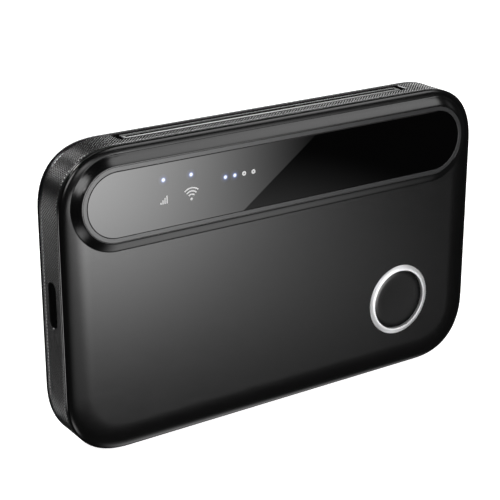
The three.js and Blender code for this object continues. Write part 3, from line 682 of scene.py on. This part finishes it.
def window_lens():
    edge = 0.05
    profile = [
        (LENS_RADIUS - 2 * edge, LENS_HIGH.y), (LENS_RADIUS, LENS_HIGH.y),
        (LENS_RADIUS, WINDOW_FACE + edge), (LENS_RADIUS - edge, WINDOW_FACE),
        (LENS_RADIUS - 2 * edge, WINDOW_FACE),
    ]
    build = Builder()
    build.solid([build.loop(lozenge(radius), depth) for radius, depth in profile])
    return build.finish("window_glass", sharp_angle=25)


def button_ring():
    crest = RING_LOW.y
    profile = [
        (RING_INNER, RING_HIGH.y), (RING_INNER, crest + 0.16), (RING_INNER + 0.03, crest + 0.06),
        (RING_INNER + 0.1, crest), (RING_INNER + 0.42, crest), (RING_INNER + 0.5, crest + 0.02),
        (RING_OUTER - 0.06, FRONT_FACE - 0.03), (RING_OUTER, FRONT_FACE + 0.03), (RING_OUTER, RING_HIGH.y),
    ]
    build = Builder()
    loops = build.rings(BUTTON_CENTER, profile)
    build.loft(loops + [loops[0]])
    return build.finish("button_ring_metal", sharp_angle=25)


def power_button():
    flange = FRONT_FACE + FRONT_WALL + 0.15
    flange_radius = (BUTTON_HIGH.x - BUTTON_LOW.x) / 2
    stem = 1.2
    dish = 0.03
    edge = 0.2
    shares = (0.1, 0.3, 0.5, 0.7, 0.85)
    profile = [(BUTTON_RADIUS * share, FRONT_FACE + dish * (1 - share * share)) for share in shares]
    profile += [
        (BUTTON_RADIUS - edge, FRONT_FACE + 0.02), (BUTTON_RADIUS - edge / 2, FRONT_FACE + 0.04),
        (BUTTON_RADIUS, FRONT_FACE + edge), (BUTTON_RADIUS, flange), (flange_radius, flange),
        (flange_radius, BUTTON_HIGH.y - 0.15), (stem, BUTTON_HIGH.y - 0.15), (stem, BUTTON_HIGH.y),
    ]
    build = Builder()
    build.solid(build.rings(BUTTON_CENTER, profile))
    return build.finish("power_button_cap")


# ---------------- socket and card tray

SHEET_METAL = 0.3
SOCKET_CORNER = 1.3
CONTACT_PITCH = 0.5
CONTACTS_PER_SIDE = 12


def socket_shell():
    """A drawn steel shell with rolled lips at its mouth and a closed back."""
    build = Builder()
    mouth = SOCKET_LOW.x
    lip = 0.08
    floor_x = SOCKET_HIGH.x - 2 * SHEET_METAL
    profile = [
        (0, SOCKET_HIGH.x), (0, mouth + lip), (lip / 3, mouth + lip / 3), (lip, mouth),
        (SHEET_METAL - lip, mouth), (SHEET_METAL, mouth + lip), (SHEET_METAL, floor_x),
    ]
    low, high = SOCKET_LOW.yz, SOCKET_HIGH.yz
    build.solid([
        build.loop(slot_outline(low, high, SOCKET_CORNER, grow=-shrunk), x, "x")
        for shrunk, x in profile
    ])
    return build.finish("usb_socket_shell")


def socket_tongue():
    """The rounded tongue, thinner towards its tip."""
    outline = slot_outline(TONGUE_LOW.yz, TONGUE_HIGH.yz, 0.3, steps=5)
    tip = slot_outline(TONGUE_LOW.yz, TONGUE_HIGH.yz, 0.2, grow=-0.12, steps=5)
    build = Builder()
    build.solid([
        build.loop(tip, TONGUE_LOW.x, "x"),
        build.loop(outline, TONGUE_LOW.x + 0.25, "x"),
        build.loop(outline, TONGUE_HIGH.x, "x"),
    ])
    return build.finish("usb_socket_tongue")


def socket_contacts():
    """Rows of flat contacts let into both faces of the tongue."""
    build = Builder()
    first = middle((TONGUE_LOW, TONGUE_HIGH)).z - CONTACT_PITCH * (CONTACTS_PER_SIDE - 1) / 2
    for face in (TONGUE_LOW.y, TONGUE_HIGH.y):
        for index in range(CONTACTS_PER_SIDE):
            z = first + CONTACT_PITCH * index
            outline = slot_outline((face - 0.03, z - 0.12), (face + 0.03, z + 0.12), 0.02, steps=2)
            build.solid([build.loop(outline, TONGUE_LOW.x + start, "x") for start in (0.5, 3.6)])
    return build.finish("usb_socket_contacts")


def card_tray():
    """The tray's frame round its card, with a rounded door that has a notch for a nail."""
    edge = 0.12
    door = slot_outline(TRAY_LOW.yz, TRAY_HIGH.yz, TRAY_DOOR_CORNER)
    door_edge = slot_outline(TRAY_LOW.yz, TRAY_HIGH.yz, TRAY_DOOR_CORNER, grow=-edge)
    build = Builder()
    build.solid([
        build.loop(door, TRAY_DOOR_INNER, "x"),
        build.loop(door, TRAY_HIGH.x - edge, "x"),
        build.loop(door_edge, TRAY_HIGH.x, "x"),
    ])
    tray = build.finish("card_tray_frame")

    outer_x = TRAY_DOOR_INNER + 0.3
    carrier_size = (outer_x - TRAY_LOW.x, CARRIER_WIDTH)
    carrier = rounded_outline(((TRAY_LOW.x + outer_x) / 2, TRAY_Z), carrier_size, 0.7, 6)
    cut_or_join(tray, prism("carrier", carrier, CARRIER_FRONT, CARRIER_BACK), "UNION")
    card_center = middle((CARD_LOW, CARD_HIGH)).xz
    card_size = (CARD_HIGH - CARD_LOW).xz
    pocket = rounded_outline(card_center, (card_size[0] + 0.2, card_size[1] + 0.2), 0.4, 5)
    cut_or_join(tray, prism("pocket", pocket, CARD_LOW.y - 0.05, CARRIER_BACK + 1), "DIFFERENCE")
    window = rounded_outline(card_center, (card_size[0] - 2.3, card_size[1] - 1.8), 0.8, 5)
    cut_or_join(tray, prism("window", window, CARRIER_FRONT - 1, CARRIER_BACK), "DIFFERENCE")
    notch_low = (TRAY_Y + 0.4, TRAY_Z - NOTCH_LENGTH / 2)
    notch = slot_outline(notch_low, (TRAY_HIGH.y + 1, TRAY_Z + NOTCH_LENGTH / 2), 0.4)
    tool = prism("notch", notch, TRAY_HIGH.x - NOTCH_DEPTH, TRAY_HIGH.x + 1, "x")
    cut_or_join(tray, tool, "DIFFERENCE")
    smooth(tray.data, 35)
    return tray


def card_contacts():
    """The card's gold contact pads, two columns of three either side of a middle strip."""
    build = Builder()
    center = middle((CARD_LOW, CARD_HIGH)).xz
    pads = [(side * 2.6, row * 2.0) for side in (-1, 1) for row in (-1, 0, 1)]
    sizes = [(2.4, 1.7)] * len(pads) + [(2.2, 5.7)]
    for pad, size in zip(pads + [(0, 0)], sizes):
        outline = rounded_outline(center + Vector(pad), size, 0.3, 4)
        build.solid([build.loop(outline, CARD_LOW.y + depth) for depth in (-0.03, 0.02)])
    return build.finish("sim_card_contacts")


# ---------------- printed marks and lit dots

PRINT_HEIGHT = 0.012
SIGNAL_BARS = 4
MARK_SHIFT = Vector((-0.45, 0.15))
SIGNAL_LEFT = -29.5
SIGNAL_BOTTOM = 49.55
SIGNAL_BAR = 0.25
SIGNAL_PITCH = 0.45
WIFI_X = -22.55
WIFI_BOTTOM = 49.45
WIFI_STROKE = 0.27
WIFI_RADII = [0.95, 1.6, 2.25]
WIFI_HALF_ANGLE = 43
LIT_NODES = ["led_signal", "led_wifi", "led_battery_1", "led_battery_2"]
UNLIT_NODES = ["led_battery_3", "led_battery_4"]
DOT_RADIUS = 0.5
HALO_RADIUS = 1.25


def printed(name, outlines):
    """Thin flat prints that stand just proud of the window."""
    build = Builder()
    for outline in outlines:
        build.solid([build.loop(outline, WINDOW_FACE + depth) for depth in (-PRINT_HEIGHT, PRINT_HEIGHT)])
    return build.finish(name)


def signal_mark():
    """Bars that rise to the right."""
    bars = []
    for index in range(SIGNAL_BARS):
        left = SIGNAL_LEFT + index * SIGNAL_PITCH
        height = 1.6 * (index + 1) / SIGNAL_BARS
        center = (left + SIGNAL_BAR / 2, SIGNAL_BOTTOM + height / 2)
        bars.append(rounded_outline(center, (SIGNAL_BAR, height), 0.04, 2))
    return printed("print_signal_bars", bars)


def wifi_mark():
    """A dot with three arcs over it."""
    dot = Vector((WIFI_X, WIFI_BOTTOM))
    outlines = [circle(dot, 0.28, 6)]
    for radius in WIFI_RADII:
        angles = [math.radians(90 + WIFI_HALF_ANGLE * (step / 8 - 1)) for step in range(17)]
        outer = [(radius + WIFI_STROKE / 2, angle) for angle in angles]
        inner = [(radius - WIFI_STROKE / 2, angle) for angle in reversed(angles)]
        outlines.append([
            dot + reach * Vector((math.cos(angle), math.sin(angle))) for reach, angle in outer + inner
        ])
    return printed("print_wifi_arcs", outlines)


def light_center(node):
    return middle(cad_box(node)).xz


def mark_center(node):
    """Where a light shows in the window, a little to the left of the light itself."""
    return light_center(node) + MARK_SHIFT


def lit_dot(node):
    """A shallow disc in the window, wide enough for the halo round its light."""
    profile = [
        (HALO_RADIUS, WINDOW_FACE + PRINT_HEIGHT), (HALO_RADIUS, WINDOW_FACE - PRINT_HEIGHT / 3),
        (DOT_RADIUS, WINDOW_FACE - PRINT_HEIGHT / 2),
    ]
    build = Builder()
    build.solid(build.rings(mark_center(node), profile, 10))
    return build.finish(f"lit_{node}")


def unlit_dots():
    """Printed rings round the lights that are off."""
    build = Builder()
    for node in UNLIT_NODES:
        profile = [
            (0.47, WINDOW_FACE + PRINT_HEIGHT), (0.47, WINDOW_FACE - PRINT_HEIGHT),
            (0.14, WINDOW_FACE - PRINT_HEIGHT), (0.14, WINDOW_FACE + PRINT_HEIGHT),
        ]
        loops = build.rings(mark_center(node), profile, 8)
        build.loft(loops + [loops[0]])
    return build.finish("print_unlit_rings")


# ---------------- finishes

class Finish:
    """A Principled material whose colour, roughness and small bumps come from procedural patterns."""

    def __init__(self, name, roughness, metallic=0.0, ior=1.5):
        self.material = bpy.data.materials.new(name)
        self.material.use_nodes = True
        self.tree = self.material.node_tree
        self.shader = self.tree.nodes["Principled BSDF"]
        self.shader.inputs["Roughness"].default_value = roughness
        self.shader.inputs["Metallic"].default_value = metallic
        self.shader.inputs["IOR"].default_value = ior

    def node(self, kind, **inputs):
        """A node with values or links for its inputs, whose names are written with underscores."""
        node = self.tree.nodes.new(kind)
        for name, value in inputs.items():
            self.feed(node.inputs[name.replace("_", " ")], value)
        return node

    def feed(self, socket, value):
        if isinstance(value, bpy.types.NodeSocket):
            self.tree.links.new(value, socket)
        else:
            socket.default_value = value

    def places(self, stretch=(1, 1, 1)):
        """Places on the piece, squeezed along each axis by the stretch."""
        found = self.node("ShaderNodeTexCoord").outputs["Object"]
        return self.node("ShaderNodeMapping", Vector=found, Scale=stretch).outputs["Vector"]

    def noise(self, feature, stretch=(1, 1, 1), detail=3.0):
        """Cloudy noise from 0 to 1, with features of a size in millimetres."""
        places = self.places(stretch)
        node = self.node("ShaderNodeTexNoise", Vector=places, Scale=1 / (feature * MM), Detail=detail)
        return node.outputs["Fac"]

    def spread(self, value, low, high):
        """Maps the middle of a pattern's range to a range of numbers."""
        node = self.node("ShaderNodeMapRange", Value=value)
        for name, number in (("From Min", 0.3), ("From Max", 0.7), ("To Min", low), ("To Max", high)):
            node.inputs[name].default_value = number
        return node.outputs["Result"]

    def color(self, pattern, dark, light):
        """Mixes two colours by a pattern into the base colour."""
        self.feed(self.shader.inputs["Base Color"], self.mixed(pattern, dark, light))

    def mixed(self, pattern, dark, light):
        node = self.tree.nodes.new("ShaderNodeMix")
        node.data_type = "RGBA"
        self.feed(node.inputs["Factor"], pattern)
        for socket, value in zip([entry for entry in node.inputs if entry.type == "RGBA"], (dark, light)):
            self.feed(socket, value if isinstance(value, bpy.types.NodeSocket) else (*value, 1))
        return next(entry for entry in node.outputs if entry.type == "RGBA")

    def roughness(self, pattern, low, high):
        self.feed(self.shader.inputs["Roughness"], self.spread(pattern, low, high))

    def bump(self, pattern, height):
        """Raises the surface by a pattern, by a height in millimetres."""
        node = self.node("ShaderNodeBump", Height=pattern, Distance=height * MM, Strength=1.0)
        self.feed(self.shader.inputs["Normal"], node.outputs["Normal"])


def shade(level, tint=1.0):
    """A grey, slightly cool when the tint is over 1."""
    return (level, level, level * tint)


def satin_black():
    finish = Finish("satin_black", 0.18)
    grain = finish.noise(0.12)
    finish.color(grain, shade(0.0015, 1.03), shade(0.0035, 1.03))
    finish.roughness(finish.noise(0.35, stretch=(0.15, 1, 1)), 0.165, 0.195)
    finish.bump(grain, 0.0004)
    return finish.material


def grained(name, feature, colors, roughness, height, metallic=0.0, stretch=(1, 1, 1), detail=3.0):
    """A material whose colour, roughness and bumps all follow one noise."""
    finish = Finish(name, sum(roughness) / 2, metallic)
    grain = finish.noise(feature, stretch, detail)
    finish.color(grain, *colors)
    finish.roughness(grain, *roughness)
    finish.bump(grain, height)
    return finish.material


def knurled_black():
    colors = (shade(0.005, 1.02), shade(0.009, 1.02))
    return grained("knurled_black", 0.15, colors, (0.21, 0.27), 0.002)


def satin_grey():
    colors = (shade(0.018, 1.04), shade(0.026, 1.04))
    return grained("satin_grey", 0.1, colors, (0.19, 0.25), 0.0003, stretch=(0.05, 1, 1))


def smoked_window():
    finish = Finish("smoked_window", 0.006)
    haze = finish.noise(9.0)
    finish.color(haze, shade(0.0004, 1.1), shade(0.0007, 1.1))
    finish.roughness(haze, 0.004, 0.008)
    return finish.material


def polished_ring():
    colors = (shade(0.82, 1.01), shade(0.92, 1.01))
    return grained("polished_ring", 0.08, colors, (0.36, 0.44), 0.0005, metallic=0.55, stretch=(1, 0.1, 1))


def black_tape():
    return grained("black_tape", 0.2, (shade(0.008), shade(0.02)), (0.7, 0.9), 0.02, detail=5.0)


def circuit_board():
    """Green mask with straight traces under it."""
    finish = Finish("circuit_board", 0.3)
    traces = finish.node(
        "ShaderNodeTexBrick", Vector=finish.places(), Scale=260.0, Mortar_Size=0.04,
        Color1=(0, 0, 0, 1), Color2=(0, 0, 0, 1), Mortar=(1, 1, 1, 1),
    ).outputs["Color"]
    finish.color(traces, (0.006, 0.045, 0.018), (0.02, 0.11, 0.045))
    finish.roughness(finish.noise(1.2), 0.25, 0.38)
    finish.bump(traces, 0.01)
    return finish.material


def chip_black():
    return grained("chip_black", 0.08, (shade(0.01), shade(0.02)), (0.42, 0.6), 0.004)


def pale_plastic():
    colors = ((0.56, 0.54, 0.49), (0.66, 0.64, 0.59))
    return grained("pale_plastic", 0.6, colors, (0.38, 0.5), 0.003)


def printed_ink_with_painted_glow():
    finish = Finish("printed_ink_with_painted_glow", 0.5)
    cloud = finish.noise(0.1)
    finish.color(cloud, shade(0.45), shade(0.6))
    finish.roughness(cloud, 0.4, 0.6)
    # The ink's emission is a painted glow: the print shines by itself, though it is no lamp.
    finish.feed(finish.shader.inputs["Emission Color"], finish.mixed(cloud, shade(0.45), shade(0.6)))
    finish.shader.inputs["Emission Strength"].default_value = 0.45
    return finish.material


def lit_light():
    """Smoked window with a bluish white light that fades into a halo."""
    finish = Finish("lit_light", 0.006)
    found = finish.node("ShaderNodeTexCoord").outputs["Generated"]
    centered = finish.node("ShaderNodeMapping", Vector=found, Location=(-1, 0, -1), Scale=(2, 0, 2))
    fade = finish.node("ShaderNodeTexGradient", Vector=centered.outputs["Vector"])
    fade.gradient_type = "SPHERICAL"
    haze = finish.noise(0.3)
    finish.color(haze, shade(0.0004, 1.1), shade(0.0007, 1.1))
    glow = finish.node("ShaderNodeValToRGB", Fac=fade.outputs["Fac"])
    ramp = glow.color_ramp
    ramp.elements[0].position = 0.05
    ramp.elements[0].color = (0, 0, 0, 1)
    ramp.elements[1].position = 0.85
    ramp.elements[1].color = (0.95, 0.97, 1, 1)
    ramp.elements.new(0.5).color = (0.008, 0.013, 0.04, 1)
    ramp.elements.new(0.66).color = (0.07, 0.1, 0.26, 1)
    ramp.elements.new(0.74).color = (0.5, 0.6, 0.9, 1)
    finish.feed(finish.shader.inputs["Emission Color"], glow.outputs["Color"])
    finish.shader.inputs["Emission Strength"].default_value = 1.1
    return finish.material


def light_white():
    finish = Finish("light_white", 0.3)
    cloud = finish.noise(0.4)
    finish.color(cloud, (0.75, 0.82, 0.9), (0.85, 0.92, 1.0))
    finish.roughness(cloud, 0.25, 0.35)
    return finish.material


def brushed(name, dark, light, roughness, direction):
    """Metal with fine streaks along one axis."""
    return grained(name, 0.12, (dark, light), roughness, 0.003, metallic=1.0, stretch=direction)


def pressed_steel():
    return brushed("pressed_steel", shade(0.32, 1.03), shade(0.46, 1.03), (0.28, 0.42), (0.05, 1, 1))


def socket_steel():
    return brushed("socket_steel", shade(0.02, 1.03), shade(0.04, 1.03), (0.4, 0.55), (0.05, 1, 1))


def screw_steel():
    return brushed("screw_steel", shade(0.3, 1.03), shade(0.42, 1.03), (0.25, 0.4), (1, 0.1, 1))


def spring_gold():
    return brushed("spring_gold", (0.55, 0.38, 0.13), (0.72, 0.52, 0.2), (0.22, 0.34), (1, 1, 0.1))


def antenna_copper():
    return brushed("antenna_copper", (0.42, 0.18, 0.08), (0.58, 0.27, 0.13), (0.25, 0.4), (0.1, 1, 1))


def graphite():
    colors = (shade(0.02, 1.1), shade(0.05, 1.1))
    return grained("graphite", 0.3, colors, (0.32, 0.5), 0.006, metallic=0.4, detail=6.0)


def grey_rubber():
    colors = ((0.17, 0.19, 0.21), (0.23, 0.25, 0.27))
    return grained("grey_rubber", 0.5, colors, (0.65, 0.85), 0.02)


def battery_foil():
    """Laminated foil with soft creases."""
    colors = (shade(0.42, 1.03), shade(0.56, 1.03))
    return grained("battery_foil", 4.0, colors, (0.28, 0.42), 0.08, metallic=0.9, detail=5.0)


def insulation(name, dark, light):
    return grained(name, 0.4, (dark, light), (0.32, 0.48), 0.004)


def red_wire():
    return insulation("red_wire", (0.32, 0.008, 0.008), (0.46, 0.016, 0.014))


def black_wire():
    return insulation("black_wire", shade(0.007), shade(0.014))


SLOT_FINISHES = [
    satin_black, knurled_black, satin_grey, smoked_window, polished_ring, black_tape, circuit_board,
    chip_black, pale_plastic, light_white, pressed_steel, screw_steel, spring_gold, antenna_copper,
    graphite, grey_rubber, battery_foil, red_wire, black_wire,
]


def give(piece, material):
    piece.data.materials.clear()
    piece.data.materials.append(material)


# ---------------- assembly

def add(piece, body, material):
    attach(piece, body)
    give(piece, material)


def place(piece, body, node, slot, material):
    """Adds a piece that stands for a CAD node."""
    add(piece, body, material)
    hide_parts(node)


def finish_cad_nodes(replaced):
    """Gives each CAD node that is still shown the finish of its slot in the record."""
    for entry in frame["record"]["subparts"]:
        if entry["node"] in replaced:
            continue
        node = frame["nodes"][entry["node"]]
        for index in range(len(node.material_slots)):
            node.material_slots[index].material = finishes[entry["material_slot"]]


finishes = {make.__name__: make() for make in SLOT_FINISHES}
# Ink for the signal bars, wifi arcs and unlit rings, with a painted glow.
painted_glow_ink = printed_ink_with_painted_glow()
glow = lit_light()

replacements = {
    "front_cover": (front_cover, "housing", "satin_black"),
    "mid_frame": (mid_frame, "housing", "knurled_black"),
    "top_grille": (top_grille, "housing", "satin_black"),
    "rear_cover": (rear_cover, "housing", "satin_black"),
    "window_bezel": (window_bezel, "housing", "satin_grey"),
    "window_lens": (window_lens, "housing", "smoked_window"),
    "button_ring": (button_ring, "housing", "polished_ring"),
    "power_button": (power_button, "power_button", "satin_black"),
    "usb_tongue": (socket_tongue, "housing", "chip_black"),
    "sim_tray": (card_tray, "card_tray", "knurled_black"),
}
for node, (make, body, slot) in replacements.items():
    place(make(), body, node, slot, finishes[slot])
place(socket_shell(), "housing", "usb_shell", "pressed_steel", socket_steel())
add(socket_contacts(), "housing", finishes["spring_gold"])
add(card_contacts(), "card_tray", finishes["spring_gold"])
add(signal_mark(), "housing", painted_glow_ink)
add(wifi_mark(), "housing", painted_glow_ink)
add(unlit_dots(), "housing", painted_glow_ink)
for node in LIT_NODES:
    add(lit_dot(node), "housing", glow)
finish_cad_nodes([*replacements, "usb_shell"])


# ---------------- floor, light and camera

def floor():
    mesh = bpy.data.meshes.new("floor")
    half = 3.0
    corners = [(-half, -half, 0), (half, -half, 0), (half, half, 0), (-half, half, 0)]
    mesh.from_pydata(corners, [], [(0, 1, 2, 3)])
    piece = bpy.data.objects.new("floor", mesh)
    bpy.context.scene.collection.objects.link(piece)
    piece.visible_glossy = False
    piece.visible_diffuse = False
    piece.visible_shadow = False
    material = bpy.data.materials.new("floor")
    material.use_nodes = True
    shader = material.node_tree.nodes["Principled BSDF"]
    shader.inputs["Base Color"].default_value = (0.9, 0.9, 0.9, 1)
    shader.inputs["Emission Color"].default_value = (1, 1, 1, 1)
    shader.inputs["Emission Strength"].default_value = 0.9
    give(piece, material)


# A soft light far away. Its turn goes from the front (-Y) towards the right, its height is above
# the horizon, and its half sizes are angles, all in degrees. Its edge is 1 where it fades all the
# way from its middle. A shuttered light is cut off by the straight shutter. The values were tuned,
# with the help of a fit of strengths, until the shading came close to the photograph's.
SoftLight = namedtuple("SoftLight", "name turn height half_width half_height edge strength shuttered")

SOFT_LIGHTS = [
    SoftLight("front box", 23, -14, 14, 10, 0.8, 9.8, True),
    SoftLight("front box foot", 28, -20, 11, 8, 1.0, 2.5, True),
    SoftLight("face wash", 33, -21, 11, 5, 1.0, 1.0, False),
    SoftLight("front box side", 9, -12, 18, 10, 1.0, 6.5, False),
    SoftLight("front low wash", 6, -23, 22, 6, 1.0, 0.9, False),
    SoftLight("front upper box", 4, 14, 14, 12, 1.0, 4.0, False),
    SoftLight("upper middle box", 26, 5, 16, 15, 1.0, 6.5, False),
    SoftLight("upper right box", 46, 42, 20, 19, 0.45, 2.9, False),
    SoftLight("left strip", -36, 24, 16, 20, 0.5, 5.0, False),
    SoftLight("low right bounce", 66, -60, 26, 13, 1.0, 2.0, False),
    SoftLight("low left bounce", -32, -48, 18, 12, 1.0, 3.2, False),
    SoftLight("right glow", 78, 15, 10, 18, 1.0, 0.3, False),
    SoftLight("rear left box", -140, -22, 16, 14, 0.7, 4.4, False),
    SoftLight("rear left high box", -154, 37, 17, 14, 0.7, 17.0, False),
    SoftLight("rear right box", 148, 4, 24, 20, 1.0, 3.2, False),
    SoftLight("rear low box", 137, -36, 26, 20, 1.0, 3.0, False),
    SoftLight("top box", 175, 66, 24, 20, 1.0, 2.2, False),
]
SHUTTER_EDGE = [(36.85, -15.7), (33.9, -18.7)]
AMBIENT = 0.02


def toward(turn, height):
    """The direction at a turn and a height in degrees."""
    turn, height = math.radians(turn), math.radians(height)
    level = math.cos(height)
    return Vector((math.sin(turn) * level, -math.cos(turn) * level, math.sin(height)))


def math_node(tree, operation, first, second):
    node = tree.nodes.new("ShaderNodeMath")
    node.operation = operation
    for socket, value in zip(node.inputs, (first, second)):
        if isinstance(value, (int, float)):
            socket.default_value = value
        else:
            tree.links.new(value, socket)
    return node.outputs["Value"]


def soft_light(tree, direction, light):
    """The light's brightness seen in a direction, which fades from its middle to its rim."""
    placing = tree.nodes.new("ShaderNodeMapping")
    placing.vector_type = "TEXTURE"
    placing.inputs["Location"].default_value = toward(light.turn, light.height)
    placing.inputs["Rotation"].default_value = (-math.radians(light.height), 0, math.radians(light.turn))
    half_width, half_height = math.radians(light.half_width), math.radians(light.half_height)
    placing.inputs["Scale"].default_value = (math.sin(half_width), 1, math.sin(half_height))
    tree.links.new(direction, placing.inputs["Vector"])
    fade = tree.nodes.new("ShaderNodeTexGradient")
    fade.gradient_type = "SPHERICAL"
    tree.links.new(placing.outputs["Vector"], fade.inputs["Vector"])
    brightness = tree.nodes.new("ShaderNodeMapRange")
    brightness.name = light.name
    brightness.interpolation_type = "SMOOTHSTEP"
    brightness.inputs["From Max"].default_value = light.edge
    brightness.inputs["To Max"].default_value = light.strength
    tree.links.new(fade.outputs["Fac"], brightness.inputs["Value"])
    return brightness.outputs["Result"]


def shutter(tree, direction):
    """1 on the side of the shutter's edge where the front box is, and 0 on the other."""
    side = toward(*SHUTTER_EDGE[0]).cross(toward(*SHUTTER_EDGE[1]))
    if side.dot(toward(SOFT_LIGHTS[0].turn, SOFT_LIGHTS[0].height)) < 0:
        side.negate()
    across = tree.nodes.new("ShaderNodeVectorMath")
    across.operation = "DOT_PRODUCT"
    across.inputs[1].default_value = side
    tree.links.new(direction, across.inputs[0])
    return math_node(tree, "GREATER_THAN", across.outputs["Value"], 0.0)


def world():
    """A white backdrop for the camera, and dark surroundings with soft lights for the object."""
    setting = bpy.data.worlds.new("studio")
    bpy.context.scene.world = setting
    setting.use_nodes = True
    tree = setting.node_tree
    direction = tree.nodes.new("ShaderNodeTexCoord").outputs["Generated"]
    open_side = shutter(tree, direction)
    total = None
    for light in SOFT_LIGHTS:
        brightness = soft_light(tree, direction, light)
        if light.shuttered:
            brightness = math_node(tree, "MULTIPLY", brightness, open_side)
        total = math_node(tree, "ADD", total or AMBIENT, brightness)
    studio = tree.nodes["Background"]
    studio.inputs["Color"].default_value = (1, 1, 1, 1)
    tree.links.new(total, studio.inputs["Strength"])
    backdrop = tree.nodes.new("ShaderNodeBackground")
    backdrop.inputs["Color"].default_value = (1, 1, 1, 1)
    seen = tree.nodes.new("ShaderNodeLightPath").outputs["Is Camera Ray"]
    choice = tree.nodes.new("ShaderNodeMixShader")
    tree.links.new(seen, choice.inputs[0])
    tree.links.new(studio.outputs["Background"], choice.inputs[1])
    tree.links.new(backdrop.outputs["Background"], choice.inputs[2])
    tree.links.new(choice.outputs["Shader"], tree.nodes["World Output"].inputs["Surface"])


# The view that the photograph was taken from, solved from the outline in it.
CAMERA_PLACE = Vector((-163.52, -234.98, 138.25))
CAMERA_AIM = Vector((-4.264, 0.385, 33.056))
FOCAL_LENGTH = 106.1


def camera():
    lens = bpy.data.cameras.new("camera")
    lens.lens = FOCAL_LENGTH
    lens.sensor_width = 36
    lens.clip_start = 0.01
    view = bpy.data.objects.new("camera", lens)
    bpy.context.scene.collection.objects.link(view)
    view.location = CAMERA_PLACE * MM
    view.rotation_euler = (CAMERA_AIM - CAMERA_PLACE).to_track_quat("-Z", "Y").to_euler()
    bpy.context.scene.camera = view


floor()
world()
camera()
bpy.context.scene.view_settings.view_transform = "Standard"
